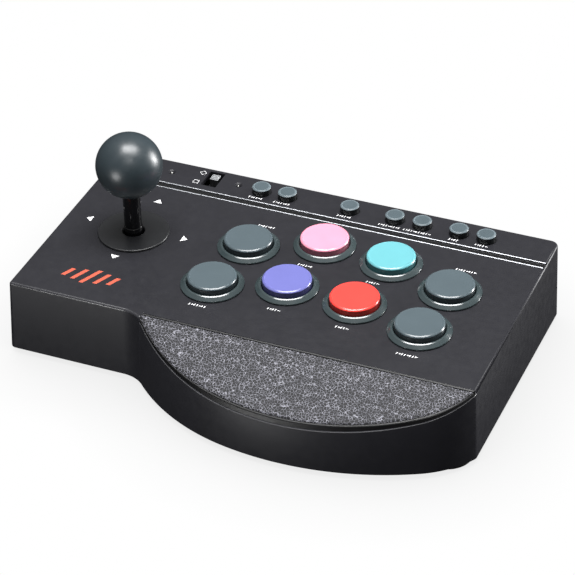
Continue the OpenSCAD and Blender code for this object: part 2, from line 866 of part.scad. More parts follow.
module coil(turns, height) {
    steps = 20;
    sides = 5;
    rise = (height - 2 * spring_wire_r) / turns;
    count = turns * steps;
    points = [
        for (i = [0 : count], j = [0 : sides - 1]) wire_point(i * 360 / steps, j * 360 / sides, rise)
    ];
    sides_mesh = [
        for (i = [0 : count - 1], j = [0 : sides - 1])
            let (k = (j + 1) % sides, a = i * sides, b = a + sides)
            each [[a + j, b + j, a + k], [a + k, b + j, b + k]]
    ];
    start_cap = [for (j = [1 : sides - 2]) [0, j, j + 1]];
    end_cap = [for (j = [1 : sides - 2]) [count * sides, count * sides + j + 1, count * sides + j]];
    polyhedron(points, concat(sides_mesh, start_cap, end_cap));
}

module centring_spring() {
    top = cage_low - gap;
    low = cup_top + gap;
    color("silver") on_stick(low + spring_wire_r) coil(spring_turns, top - low);
}

module spring_cup() {
    color([0.80, 0.80, 0.76]) on_stick() {
        ring(cup_r, shaft_r + gap, cup_top - 1.2, cup_top);
        ring(cup_r, spring_r + spring_wire_r + 0.3, cup_top - 0.5, cup_top + 1);
    }
}

module stick_actuator() {
    color([0.85, 0.85, 0.80]) on_stick() ring(actuator_r, shaft_r + gap, actuator_h[0], actuator_h[1]);
}

module e_clip() {
    color("dimgray") on_stick() difference() {
        ring(4.4, shaft_r - 0.65, clip_h[0], clip_h[1]);
        translate([0, -2, clip_h[0] - 1]) slab([3, 6], 0, 4);
    }
}

module lower_dust_plate() {
    slot_half = tube_r + slider_travel + 0.1;
    color([0.10, 0.10, 0.10]) on_stick() difference() {
        slab([slider_size.x, slider_size.y], slider_top - slider_size.z, slider_top);
        slab([2 * (tube_r + gap), 2 * slot_half], slider_top - 5, slider_top + 1);
    }
}

module dust_washer() {
    color([0.10, 0.10, 0.11]) on_stick() difference() {
        union() {
            disc(washer_r - 0.5, gap, washer_t);
            disc(washer_r, gap, washer_t - 0.5);
            disc(tube_r, tube_end, washer_t / 2);
        }
        disc(tube_bore_r, tube_end - 1, washer_t + 1);
    }
}

// ---------- wiring ----------

module board_connectors() {
    color([0.92, 0.90, 0.84]) {
        on_panel(stick_plug_u, stick_at.y, stick_board_top + gap) slab(connector_size, 0, connector_size.z);
        on_panel(main_plug_u, stick_at.y, main_board_h + gap) slab(connector_size, 0, connector_size.z);
        on_panel(link_u, main_plug_v, main_board_h + gap)
            slab([connector_size.y, connector_size.x], 0, connector_size.z);
        on_panel(link_u, key_plug_v, key_board_h - board_t - gap)
            slab([connector_size.y, connector_size.x], -connector_size.z, 0);
    }
}

module stick_ribbon() {
    high = -18.5;
    plug_top = connector_size.z + 2 * gap;
    color([0.35, 0.35, 0.37]) on_panel(0, stick_at.y) {
        translate([stick_plug_u, 0, 0]) slab([ribbon_t, ribbon_w], stick_board_top + plug_top, high);
        translate([main_plug_u, 0, 0]) slab([ribbon_t, ribbon_w], main_board_h + plug_top, high);
        translate([(stick_plug_u + main_plug_u) / 2, 0, 0])
            slab([main_plug_u - stick_plug_u + ribbon_t, ribbon_w], high - ribbon_t, high);
    }
}

module function_ribbon() {
    low = -19.4;
    color([0.35, 0.35, 0.37]) on_panel(link_u, 0) {
        translate([0, key_plug_v, 0])
            slab([ribbon_w, ribbon_t], low, key_board_h - board_t - connector_size.z - 2 * gap);
        translate([0, main_plug_v, 0])
            slab([ribbon_w, ribbon_t], main_board_h + connector_size.z + 2 * gap, low + ribbon_t);
        translate([0, (key_plug_v + main_plug_v) / 2, 0])
            slab([ribbon_w, key_plug_v - main_plug_v + ribbon_t], low, low + ribbon_t);
    }
}

placed() top_case();
placed() base_plate();
placed() palm_rest_frame();
placed() palm_pad();
placed() trim_strip();
placed() rubber_feet();
placed() base_screws();
placed() palm_frame_screws();
placed() weight_plate();
placed() weight_screws();
placed() button_housings();
placed() main_board();
placed() microswitches();
placed() board_screws();
placed() controller_chips();
placed() function_board();
placed() tact_switches();
placed() slide_switch_body();
placed() indicator_leds();
placed() indicator_lenses();
placed() usb_socket();
placed() stick_frame();
placed() frame_screws();
placed() stick_board();
placed() stick_switches();
placed() restrictor_gate();
placed() gate_screws();
placed() board_connectors();
placed() stick_ribbon();
placed() function_ribbon();
placed() gimbal_ring();
placed() ball_top();
placed() shaft_sleeve();
placed() stick_shaft();
placed() pivot_pin();
placed() centring_spring();
placed() spring_cup();
placed() stick_actuator();
placed() e_clip();
placed() lower_dust_plate();
placed() dust_washer();
placed() slide_knob();
for (i = [0 : len(CAP_NODES) - 1]) placed() button_cap(i);
for (i = [0 : len(KEY_NODES) - 1]) placed() key_cap(i);
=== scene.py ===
import json
import math

import bmesh
import bpy
from mathutils import Matrix, Vector, noise

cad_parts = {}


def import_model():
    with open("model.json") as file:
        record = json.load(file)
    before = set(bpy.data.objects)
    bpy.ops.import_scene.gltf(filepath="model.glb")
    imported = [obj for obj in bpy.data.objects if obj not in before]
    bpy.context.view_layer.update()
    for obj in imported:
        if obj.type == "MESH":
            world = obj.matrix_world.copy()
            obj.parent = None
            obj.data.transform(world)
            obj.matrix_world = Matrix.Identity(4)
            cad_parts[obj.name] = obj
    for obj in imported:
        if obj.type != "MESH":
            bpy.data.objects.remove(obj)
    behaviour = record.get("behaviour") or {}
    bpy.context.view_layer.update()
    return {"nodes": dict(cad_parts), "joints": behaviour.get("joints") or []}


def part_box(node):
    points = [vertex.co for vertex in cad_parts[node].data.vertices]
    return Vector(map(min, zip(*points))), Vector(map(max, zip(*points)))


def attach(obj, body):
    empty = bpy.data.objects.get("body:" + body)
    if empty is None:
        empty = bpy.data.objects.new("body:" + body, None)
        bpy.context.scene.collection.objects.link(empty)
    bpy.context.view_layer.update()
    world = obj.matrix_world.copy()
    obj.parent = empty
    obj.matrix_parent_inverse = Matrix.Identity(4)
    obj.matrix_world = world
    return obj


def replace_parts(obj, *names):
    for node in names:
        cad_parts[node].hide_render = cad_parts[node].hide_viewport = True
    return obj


# The looks of the arcade joystick panel. Lengths are millimetres in the case's own coordinates, as in
# the CAD source: X = 0 in the middle, Y = 0 at the panel's front edge, Z = 0 at the case's bottom edge.
# They become metres in the frame where a mesh is made.

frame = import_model()

MM = 0.001
ROOT = "root"

# ---------- sizes ----------

REST_REACH = 38.2  # front of the palm rest to the panel's front edge
FRONT_LIP = 2.0  # foot of the front wall ahead of the panel's front edge
REAR_CORNER_R = 6.0
FRONT_CORNER_R = 3.2
REST_X = 34.2  # centre of the wide front arc
REST_R = 139.6
REST_LEFT_R = 106.0
REST_LEFT_TURN = 10.6  # degrees from straight ahead to where the left arc begins
REST_RIGHT_R = 50.0
REST_RIGHT_TURN = 28.0  # degrees from straight ahead to where the right arc begins
REST_FILLET_R = 16.8
REST_CORNER_R = 3.5
REST_TIP = -47.6  # left end of the palm rest's frame
RIM_DROP = 1.06  # wall's top edge below the panel's front edge
RIM_FALL = 22.3
PAD_FALL = 20.5
SKIN = 0.04  # the visible shell lies this far inside the CAD walls
DRAFT = 0.042  # lean of the walls, inwards for each unit of height
BOTTOM_ROUND = 0.4
TOP_ROUND = 1.3
RIM_ROUND = 0.45  # at the wall's rim and the panel's front edge
WELD = 0.002  # points nearer than this are one


case_low, case_high = [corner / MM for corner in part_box("top_case")]
ORIGIN = Vector((0, case_low.y + REST_REACH, case_low.z))
HALF_W = case_high.x
REAR_Y = case_high.y - ORIGIN.y


def to_frame(point):
    return (ORIGIN + Vector(point)) * MM


def local_points(node):
    return [v.co / MM - ORIGIN for v in frame["nodes"][node].data.vertices]


# ---------- the panel's plane ----------

joint_of = {joint["child"]: joint for joint in frame["joints"]}
ACROSS = Vector((1, 0, 0))
NORMAL = Vector(joint_of["pink_button"]["axis"])
UP_SLOPE = NORMAL.cross(ACROSS)
FRONT_H = max(NORMAL.dot(point) for point in local_points("top_case")) / NORMAL.z
EDGE = Vector((0, 0, FRONT_H))
SLOPE = UP_SLOPE.z / UP_SLOPE.y


def on_panel(u, v, h=0.0):
    """A place u across and v up the slope from the front edge, h out of the surface."""
    return EDGE + ACROSS * u + UP_SLOPE * v + NORMAL * h


def reach(node):
    """Lowest and highest panel coordinates of a CAD node."""
    spans = [p - EDGE for p in local_points(node)]
    parts = [[s.dot(axis) for s in spans] for axis in (ACROSS, UP_SLOPE, NORMAL)]
    return Vector([min(part) for part in parts]), Vector([max(part) for part in parts])


def middle_of(values):
    return (min(values) + max(values)) / 2


def turned_part(node):
    """The centre, the radius and the lowest and highest h of a round CAD node."""
    low, high = reach(node)
    return (low + high) / 2, (high.x - low.x) / 2, low.z, high.z


def centre_of(node):
    return turned_part(node)[0]


def rim_height(y):
    return FRONT_H - RIM_DROP + y * math.tan(math.radians(RIM_FALL))


def pad_height(y):
    return FRONT_H + y * math.tan(math.radians(PAD_FALL))


# ---------- finishes ----------


def linear(code):
    """The linear colour of an sRGB hex code."""
    parts = [int(code[i:i + 2], 16) / 255 for i in (1, 3, 5)]
    return [p / 12.92 if p < 0.04045 else ((p + 0.055) / 1.055) ** 2.4 for p in parts] + [1.0]


class Finish:
    """A Principled material, with short ways to add the nodes that give it colour and grain."""

    def __init__(self, name, slot=None):
        self.slot = slot or name
        self.material = bpy.data.materials.new(name)
        self.material.use_nodes = True
        self.tree = self.material.node_tree
        self.surface = self.tree.nodes["Principled BSDF"]
        self.place = self.add("ShaderNodeTexCoord").outputs["Object"]

    def set(self, node, key, value):
        socket = node.inputs[key]
        if isinstance(value, bpy.types.NodeSocket):
            self.tree.links.new(value, socket)
        else:
            socket.default_value = value

    def add(self, kind, inputs=None, **settings):
        node = self.tree.nodes.new(kind)
        for key, value in settings.items():
            setattr(node, key, value)
        for key, value in (inputs or {}).items():
            self.set(node, key, value)
        return node

    def shade(self, **values):
        for key, value in values.items():
            self.set(self.surface, key.replace("_", " "), value)

    def noise(self, size, detail=2.0, roughness=0.5):
        """Noise whose features are about size millimetres across."""
        inputs = {"Vector": self.place, "Scale": 1 / (size * MM), "Detail": detail, "Roughness": roughness}
        return self.add("ShaderNodeTexNoise", inputs).outputs["Fac"]

    def spread(self, value, low, high, start=0.3, end=0.7):
        """Maps a value between start and end to the span from low to high."""
        inputs = {"Value": value, "From Min": start, "From Max": end, "To Min": low, "To Max": high}
        return self.add("ShaderNodeMapRange", inputs).outputs["Result"]

    def blend(self, factor, first, second):
        node = self.add("ShaderNodeMix", data_type="RGBA")
        for index, value in ((0, factor), (6, first), (7, second)):
            self.set(node, index, value)
        return node.outputs[2]

    def bump(self, height, depth, strength=1.0, normal=None):
        """Bump of depth millimetres."""
        inputs = {"Height": height, "Distance": depth * MM, "Strength": strength}
        if normal is not None:
            inputs["Normal"] = normal
        return self.add("ShaderNodeBump", inputs).outputs["Normal"]


def shifted(code, amount):
    """The linear colour of a hex code, made lighter or darker by a share."""
    return [c * (1 + amount) for c in linear(code)[:3]] + [1.0]


def plastic(name, code, roughness, grain=0.25, depth=0.004, mottle=0.12, sheen=0.5, slot=None):
    """Moulded plastic: a faint change of tone, uneven gloss and a fine moulded grain. The sheen is the
    strength of its mirror-like part, 0.5 for common plastics."""
    finish = Finish(name, slot)
    tone = finish.spread(finish.noise(9.0, 3.0), 0.0, 1.0)
    gloss = finish.spread(finish.noise(3.5, 4.0), roughness * 0.88, roughness * 1.12)
    finish.shade(
        Base_Color=finish.blend(tone, shifted(code, -mottle), shifted(code, mottle)),
        Roughness=gloss,
        Normal=finish.bump(finish.noise(grain, 3.0), depth),
        Specular_IOR_Level=sheen,
    )
    return finish


def metal(name, code, roughness, brushed=0.15):
    """Plated or rolled steel, with fine scratches and dull patches."""
    finish = Finish(name)
    tone = finish.spread(finish.noise(4.0, 4.0), 0.0, 1.0)
    finish.shade(
        Base_Color=finish.blend(tone, shifted(code, -0.15), shifted(code, 0.08)),
        Metallic=1.0,
        Roughness=finish.spread(finish.noise(1.2, 4.0), roughness * 0.8, roughness * 1.3),
        Normal=finish.bump(finish.noise(brushed, 5.0), 0.002),
    )
    return finish


def rubber(name, code):
    """Rubber with a pale bloom of dust."""
    finish = Finish(name)
    dust = finish.spread(finish.noise(2.0, 5.0), 0.0, 1.0)
    finish.shade(
        Base_Color=finish.blend(dust, shifted(code, -0.1), shifted(code, 0.5)),
        Roughness=finish.spread(dust, 0.6, 0.85, 0.0, 1.0),
        Normal=finish.bump(finish.noise(0.4, 4.0), 0.02),
    )
    return finish


def board_laminate():
    """Green solder mask over straight tracks and pads."""
    finish = Finish("board_laminate")
    cells = finish.add(
        "ShaderNodeTexVoronoi", {"Vector": finish.place, "Scale": 300.0}, distance="CHEBYCHEV"
    ).outputs["Distance"]
    track = finish.spread(cells, 1.0, 0.0, 0.32, 0.36)
    finish.shade(
        Base_Color=finish.blend(track, linear("#0e4a22"), linear("#1d6a34")),
        Roughness=finish.spread(finish.noise(2.0), 0.25, 0.4),
        Normal=finish.bump(track, 0.02),
    )
    return finish


def ribbon_plastic():
    """Flat cable: grey insulation with a groove between the wires."""
    wire_pitch = 1.27
    finish = Finish("ribbon_plastic")
    inputs = {"Vector": finish.place, "Scale": 1 / (20 * wire_pitch * MM)}
    wires = finish.add("ShaderNodeTexWave", inputs, bands_direction="DIAGONAL").outputs["Fac"]
    finish.shade(
        Base_Color=finish.blend(wires, linear("#3c3d42"), linear("#7a7b80")),
        Roughness=finish.spread(finish.noise(2.0), 0.4, 0.6),
        Normal=finish.bump(wires, 0.15),
    )
    return finish


def leather(name):
    """Embossed leather: dark cells parted by thin light creases, with fine pores over both. The creases'
    light colour is painted highlight for glints along the raised ridges, stronger in patches.
    """
    drift_size, drift_by, cell_size = 2.2, 0.8, 1.35
    finish = Finish(name)
    inputs = {"Vector": finish.place, "Scale": 1 / (drift_size * MM), "Detail": 2.0}
    drift = finish.add("ShaderNodeTexNoise", inputs).outputs["Color"]
    inputs = {0: drift, 1: [drift_by * MM] * 3}
    bend = finish.add("ShaderNodeVectorMath", inputs, operation="MULTIPLY").outputs[0]
    bent = finish.add("ShaderNodeVectorMath", {0: finish.place, 1: bend}, operation="ADD").outputs[0]
    cells = {"Vector": bent, "Scale": 1 / (cell_size * MM)}
    edge = finish.add("ShaderNodeTexVoronoi", cells, feature="DISTANCE_TO_EDGE").outputs["Distance"]
    crease = finish.spread(edge, 1.0, 0.0, 0.02, 0.085)
    glint_patches = finish.spread(finish.noise(3.0, 5.0), 0.35, 1.0, 0.36, 0.62)
    # painted highlight: the creases lightened where glints would fall, in uneven patches
    light = finish.add("ShaderNodeMath", {0: crease, 1: glint_patches}, operation="MULTIPLY").outputs[0]
    pores = finish.bump(finish.noise(0.22, 4.0), 0.04)
    finish.shade(
        Base_Color=finish.blend(light, linear("#161619"), linear("#8c8c95")),
        Roughness=finish.spread(crease, 0.62, 0.45, 0.0, 1.0),
        Normal=finish.bump(crease, 0.12, 0.7, pores),
        Specular_IOR_Level=0.3,
    )
    return finish


def ink(name, code):
    """Printed ink, slightly uneven and thinner in places."""
    finish = Finish(name, "case_plastic")
    finish.shade(
        Base_Color=finish.blend(finish.noise(0.6, 3.0), shifted(code, -0.12), shifted(code, 0.05)),
        Roughness=finish.spread(finish.noise(1.0), 0.45, 0.6),
        Normal=finish.bump(finish.noise(0.3), 0.003),
    )
    return finish


SLATE = "#465156"
case_plastic = plastic("case_plastic", "#202024", 0.42, 0.3, 0.012, 0.06, 0.25)
# painted highlight: a lighter, glossier copy of the case plastic for the edges that show a bright line
edge_highlight_plastic = plastic("edge_highlight_plastic", "#2a2a2e", 0.24, 0.6, 0.003, 0.06, 0.9, slot="case_plastic")
lip_plastic = plastic("lip_plastic", "#0b0b0c", 0.38, 0.6, 0.006, sheen=0.25, slot="rest_plastic")
pad_leather = leather("pad_leather")
trim_metal = metal("trim_metal", "#9b9da1", 0.34)
# near black: in the trim's sunk band partly its own finish and partly painted shade; on the lamp lenses
# painted shade round the tip
dark_shade_plastic = plastic("dark_shade_plastic", "#101011", 0.2, 0.8, 0.002, slot="trim_metal")
collar_plastic = plastic("collar_plastic", "#303a3c", 0.18, 0.8, 0.002, 0.08, 0.8)
# the key's top, a darker copy for its side as painted shade and a lighter copy for its rim as painted
# highlight
key_finish = [
    plastic(name, code, gloss, 0.6, 0.003, 0.06, slot="slate_cap") for name, code, gloss in (
        ("key_plastic", SLATE, 0.28), ("key_shaded_side", "#0c0f10", 0.3), ("key_highlight_rim", "#5c676c", 0.3),
    )
]
ball_plastic = plastic("ball_plastic", "#293135", 0.34, 1.0, 0.002, 0.05)
sleeve_plastic = plastic("sleeve_plastic", "#08080a", 0.14, 1.0, 0.002)
washer_plastic = plastic("washer_plastic", "#1c1d1f", 0.34, 0.5)
knob_plastic = plastic("knob_plastic", "#8e9092", 0.4)
# painted shade: a darker copy of the knob's plastic for its upright sides
knob_shaded_side = plastic("knob_shaded_side", "#242527", 0.4, slot="knob_plastic")
lens_plastic = plastic("lens_plastic", "#f4f4f0", 0.2)
foot_rubber = rubber("foot_rubber", "#141414")
white_ink = ink("white_ink", "#e9e9ea")
orange_ink = ink("orange_ink", "#b8503a")


def cap_finish(name, code):
    """Top and side finish of a button's cap. The side finish is the cap's colour darkened, as painted
    shade.
    """
    gloss, grain, depth = 0.24, 0.6, 0.003
    top = plastic(name, code, gloss, grain, depth, 0.03)
    # painted shade: the side finish darkens the cap's colour
    side = Finish(name + "_side", name)
    side.shade(
        Base_Color=side.blend(side.noise(4.0), shifted(code, -0.75), shifted(code, -0.6)),
        Roughness=side.spread(side.noise(2.0), gloss, gloss + 0.1),
        Normal=side.bump(side.noise(grain), depth),
    )
    return top, side


grey_finish = cap_finish("slate_cap", SLATE)
BUTTONS = {  # each cap's finish, its label's place from its centre and the label's width
    "grey_button_upper_left": (grey_finish, 1.4, 19.1, 10.0),
    "pink_button": (cap_finish("pink_cap", "#e08aa0"), -2.9, -18.9, 7.8),
    "cyan_button": (cap_finish("cyan_cap", "#5c9da4"), -3.2, -17.6, 7.6),
    "grey_button_upper_right": (grey_finish, 1.2, 19.3, 11.0),
    "grey_button_lower_left": (grey_finish, 0.0, -18.0, 9.8),
    "violet_button": (cap_finish("violet_cap", "#60629e"), 0.5, -19.0, 7.4),
    "red_button": (cap_finish("red_cap", "#e03e37"), 0.5, -18.8, 7.0),
    "grey_button_lower_right": (grey_finish, 0.4, -19.3, 11.0),
}
KEYS = [node for node in frame["nodes"] if node.endswith("_key")]

NODE_FINISH = {  # the nodes that keep their CAD shape
    plastic("base_plastic", "#19191a", 0.55, 0.5, 0.03): ["base_plate"],
    metal("screw_steel", "#b9bbbd", 0.3): [
        "base_screws", "palm_frame_screws", "weight_screws", "board_screws", "frame_screws",
        "gate_screws", "stick_shaft", "pivot_pin",
    ],
    metal("weight_steel", "#7d7f82", 0.45, 0.5): ["weight_plate"],
    board_laminate(): ["main_board", "function_board", "stick_board"],
    plastic("switch_plastic", "#151516", 0.45): [
        "microswitches", "tact_switches", "slide_switch_body", "stick_switches", "lower_dust_plate",
    ],
    plastic("chip_plastic", "#101011", 0.5): ["controller_chips"],
    plastic("led_plastic", "#e8ecee", 0.15): ["indicator_leds"],
    metal("socket_steel", "#c4c4c2", 0.25): ["usb_socket"],
    plastic("frame_plastic", "#26272a", 0.45): ["stick_frame"],
    plastic("gate_plastic", "#d5d4ca", 0.4): [
        "restrictor_gate", "gimbal_ring", "spring_cup", "stick_actuator",
    ],
    plastic("connector_plastic", "#e0dccb", 0.45): ["board_connectors"],
    ribbon_plastic(): ["stick_ribbon", "function_ribbon"],
    metal("spring_steel", "#8d8f92", 0.28): ["centring_spring", "e_clip"],
}


def dress(obj, *finishes):
    obj.data.materials.clear()
    for finish in finishes:
        obj.data.materials.append(finish.material)


# ---------- mesh helpers ----------

SHARP = math.radians(32)


def new_object(name, data):
    obj = bpy.data.objects.new(name, data)
    bpy.context.scene.collection.objects.link(obj)
    return obj


def make(name, points, faces, body, *finishes, sharp=SHARP):
    """A mesh piece from points in case coordinates, riding on a body."""
    mesh = bpy.data.meshes.new(name)
    mesh.from_pydata([to_frame(p) for p in points], [], faces)
    work = bmesh.new()
    work.from_mesh(mesh)
    bmesh.ops.recalc_face_normals(work, faces=work.faces)
    work.to_mesh(mesh)
    work.free()
    mesh.shade_smooth()
    mesh.set_sharp_from_angle(angle=sharp)
    obj = new_object(name, mesh)
    dress(obj, *finishes)
    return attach(obj, body)


def weigh(obj):
    """Lets large faces keep their own normals, so that only the rounded edges catch the light."""
    obj.modifiers.new("weighted", "WEIGHTED_NORMAL").keep_sharp = True
    return obj


class Solids:
    """Gathers closed shells that become one piece."""

    def __init__(self):
        self.points = []
        self.faces = []
        self.slots = []

    def shell(self, points, faces, slots=None):
        start = len(self.points)
        self.points += points
        self.faces += [[start + i for i in face] for face in faces]
        self.slots += slots or [0] * len(faces)

    def build(self, name, body, *finishes, sharp=SHARP):
        obj = make(name, self.points, self.faces, body, *finishes, sharp=sharp)
        obj.data.polygons.foreach_set("material_index", self.slots)
        return weigh(obj)


def quarter(steps):
    """The cosine and sine at even steps over a quarter turn."""
    turns = [math.radians(90 * k / steps) for k in range(steps + 1)]
    return [(math.cos(a), math.sin(a)) for a in turns]


def arc(centre, r, a, b, step=3.0):
    """Points along an arc, in order from angle a to angle b."""
    count = max(1, math.ceil(abs(b - a) / step))
    turns = [math.radians(a + (b - a) * i / count) for i in range(count + 1)]
    return [(centre[0] + r * math.cos(t), centre[1] + r * math.sin(t)) for t in turns]


def rounded(path, closed=False):
    """A path of (x, y, radius) corners as plain points, each corner turned by an arc."""
    steps = 5
    result = []
    count = len(path)
    for i, (x, y, r) in enumerate(path):
        if r == 0 or (not closed and i in (0, count - 1)):
            result.append((x, y))
            continue
        here = Vector((x, y))
        before = (Vector(path[i - 1][:2]) - here).normalized()
        after = (Vector(path[(i + 1) % count][:2]) - here).normalized()
        half = before.angle(after) / 2
        centre = here + (before + after).normalized() * (r / math.sin(half))
        start = here + before * (r / math.tan(half)) - centre
        end = here + after * (r / math.tan(half)) - centre
        turn = start.angle_signed(end)
        for k in range(steps + 1):
            result.append(tuple(centre + Matrix.Rotation(-turn * k / steps, 2) @ start))
    return result


def loop_faces(rings, size, closed=True):
    """Quads between rings of size points each; closed joins the last ring to the first."""
    faces = []
    for i in range(rings if closed else rings - 1):
        a = i * size
        b = (i + 1) % rings * size
        faces += [[a + j, a + (j + 1) % size, b + (j + 1) % size, b + j] for j in range(size)]
    return faces


def turned(profile, centre, steps):
    """Points and faces of a closed (r, h) profile turned about the panel's normal at centre.
    A profile that starts and ends on the axis makes a solid, any other makes a ring."""
    u, v = centre[0], centre[1]
    solid = profile[0][0] == 0
    inner = profile[1:-1] if solid else profile
    points = []
    for r, h in inner:
        for i in range(steps):
            a = 2 * math.pi * i / steps
            points.append(on_panel(u + r * math.cos(a), v + r * math.sin(a), h))
    faces = loop_faces(len(inner), steps, closed=not solid)
    if solid:
        points += [on_panel(u, v, profile[0][1]), on_panel(u, v, profile[-1][1])]
        last = (len(inner) - 1) * steps
        faces += [[len(points) - 2, (i + 1) % steps, i] for i in range(steps)]
        faces += [[len(points) - 1, last + i, last + (i + 1) % steps] for i in range(steps)]
    return points, faces


def lathe(name, profile, centre, body, *finishes, steps):
    points, faces = turned(profile, centre, steps)
    return weigh(make(name, points, faces, body, *finishes))


def stacked(rings):
    """Points and faces of a solid through rings of points, closed by its first and its last ring."""
    size = len(rings[0])
    faces = loop_faces(len(rings), size, closed=False)
    faces.append(list(range(size - 1, -1, -1)))
    faces.append([(len(rings) - 1) * size + i for i in range(size)])
    return [point for ring in rings for point in ring], faces


# ---------- the case's plan ----------


def polar(centre, r, degrees):
    a = math.radians(degrees)
    return centre[0] + r * math.cos(a), centre[1] + r * math.sin(a)


WIDE_C = (REST_X, REST_R - REST_REACH)
LEFT_AIM = 270 - REST_LEFT_TURN
RIGHT_AIM = 270 + REST_RIGHT_TURN
LEFT_C = polar(WIDE_C, REST_R - REST_LEFT_R, LEFT_AIM)
RIGHT_C = polar(WIDE_C, REST_R - REST_RIGHT_R, RIGHT_AIM)
FILLET_Y = -FRONT_LIP - REST_FILLET_R
FILLET_REACH = REST_LEFT_R + REST_FILLET_R
FILLET_C = (LEFT_C[0] - math.sqrt(FILLET_REACH ** 2 - (LEFT_C[1] - FILLET_Y) ** 2), FILLET_Y)
FILLET_END = math.degrees(math.asin((LEFT_C[1] - FILLET_Y) / FILLET_REACH))
CORNER_REACH = REST_RIGHT_R - REST_CORNER_R
CORNER_TURN = 360 - math.degrees(math.acos((HALF_W - REST_CORNER_R - RIGHT_C[0]) / CORNER_REACH))
CORNER_C = polar(RIGHT_C, CORNER_REACH, CORNER_TURN)


def rest_outline(inset):
    """The palm rest's front edge from the hollow fillet to the right wall."""
    return (
        arc(FILLET_C, REST_FILLET_R + inset, 90, FILLET_END)
        + arc(LEFT_C, REST_LEFT_R - inset, 180 + FILLET_END, LEFT_AIM, 1.2)[1:]
        + arc(WIDE_C, REST_R - inset, LEFT_AIM, RIGHT_AIM, 1.2)[1:]
        + arc(RIGHT_C, REST_RIGHT_R - inset, RIGHT_AIM, CORNER_TURN, 1.5)[1:]
        + arc(CORNER_C, REST_CORNER_R - inset, CORNER_TURN, 360, 6.0)[1:]
    )


def case_outline(inset):
    rear = (HALF_W - REAR_CORNER_R, REAR_Y - REAR_CORNER_R)
    front = (FRONT_CORNER_R - HALF_W, FRONT_CORNER_R - FRONT_LIP)
    return (
        arc(rear, REAR_CORNER_R - inset, 0, 90, 6.0)
        + arc((-rear[0], rear[1]), REAR_CORNER_R - inset, 90, 180, 6.0)
        + arc(front, FRONT_CORNER_R - inset, 180, 270, 6.0)
        + rest_outline(inset)
    )


def outer_shell():
    """The case's drafted outside as one closed block under the panel's plane, its edges rounded."""
    base = 0.02
    steps = 6
    rings = []
    for c, s in quarter(steps):
        z = base + BOTTOM_ROUND * (1 - c)
        inset = SKIN + DRAFT * z + BOTTOM_ROUND * (1 - s)
        rings.append([(x, y, z) for x, y in case_outline(inset)])
    for c, s in quarter(steps):
        inset = SKIN + DRAFT * FRONT_H + TOP_ROUND * (1 - c)
        drop = base + TOP_ROUND * (1 - s)
        rings.append([(x, y, FRONT_H + SLOPE * y - drop) for x, y in case_outline(inset)])
    return stacked(rings)


def rim_cutter():
    """What the palm rest leaves open: the space over the wall's rim, in front of the panel."""
    beyond, gap = 10, 0.02
    far_y, top = -REST_REACH - beyond, FRONT_H + beyond
    section = [(gap, rim_height(gap) - gap), (far_y, rim_height(far_y) - gap), (far_y, top), (gap, top)]
    return stacked([[(x, y, z) for y, z in section] for x in (REST_TIP - gap, HALF_W + beyond)])


def combine(obj, other, operation):
    """Applies a boolean to obj and removes the other object."""
    boolean = obj.modifiers.new(operation, "BOOLEAN")
    boolean.operation = operation
    boolean.solver = "EXACT"
    boolean.object = other
    bpy.context.view_layer.objects.active = obj
    bpy.ops.object.modifier_apply(modifier=boolean.name)
    bpy.data.objects.remove(other)


def welded(mesh):
    """A bmesh made from a mesh, with points that lie on each other joined."""
    work = bmesh.new()
    work.from_mesh(mesh)
    bmesh.ops.remove_doubles(work, verts=work.verts, dist=WELD * MM)
    return work


def welded_copy(node):
    """A closed copy of a CAD node's mesh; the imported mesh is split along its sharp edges."""
    mesh = frame["nodes"][node].data.copy()
    work = welded(mesh)
    bmesh.ops.recalc_face_normals(work, faces=work.faces)
    work.to_mesh(mesh)
    work.free()
    return new_object(node + "_copy", mesh)


def case_edges(work):
    """The wall's rim along the palm rest and the panel's front edge, which get a small rounding."""
    rim = Vector((0, -math.sin(math.radians(RIM_FALL)), math.cos(math.radians(RIM_FALL))))
    inside = to_frame((REST_X, 10, 0))
    near, parallel, upright = 0.1, 0.9999, 0.3
    chosen = []
    for edge in work.edges:
        middle = (edge.verts[0].co + edge.verts[1].co) / 2
        place = middle / MM - ORIGIN
        if len(edge.link_faces) != 2 or place.y >= near or place.x <= REST_TIP - near:
            continue
        normals = [face.normal for face in edge.link_faces]
        for flat, wall in (normals, normals[::-1]):
            on_rim = flat.dot(rim) > parallel and wall.dot(middle - inside) > 0
            at_front = flat.dot(NORMAL) > parallel and abs(place.y) < near
            if abs(wall.z) < upright and (on_rim or at_front) and edge not in chosen:
                chosen.append(edge)
    return chosen


def flatten_top(mesh):
    """Gives the faces of the panel's plane the plane's own normal, so that no long triangle shows."""
    top = {v for face in mesh.polygons if face.normal.dot(NORMAL) > 0.99999 for v in face.vertices}
    normals = [corner.vector.copy() for corner in mesh.corner_normals]
    for face in mesh.polygons:
        if face.normal.dot(NORMAL) > math.cos(SHARP):
            for loop in face.loop_indices:
                if mesh.loops[loop].vertex_index in top:
                    normals[loop] = NORMAL
    mesh.normals_split_custom_set(normals)


def paint_edge_highlights(mesh):
    """Gives the panel's edges on the left and in front a lighter, glossier finish; its lighter tone is a
    painted highlight along them.
    """
    side_margin, front_margin, depth = 5, 1, 3
    for face in mesh.polygons:
        place = face.center / MM - ORIGIN
        on_highlit_side = place.x < side_margin - HALF_W or place.y < front_margin
        on_case = place.z > FRONT_H - depth and place.y > -FRONT_LIP - front_margin
        if 0.3 < face.normal.dot(NORMAL) < 0.98 and on_highlit_side and on_case:
            face.material_index = 1


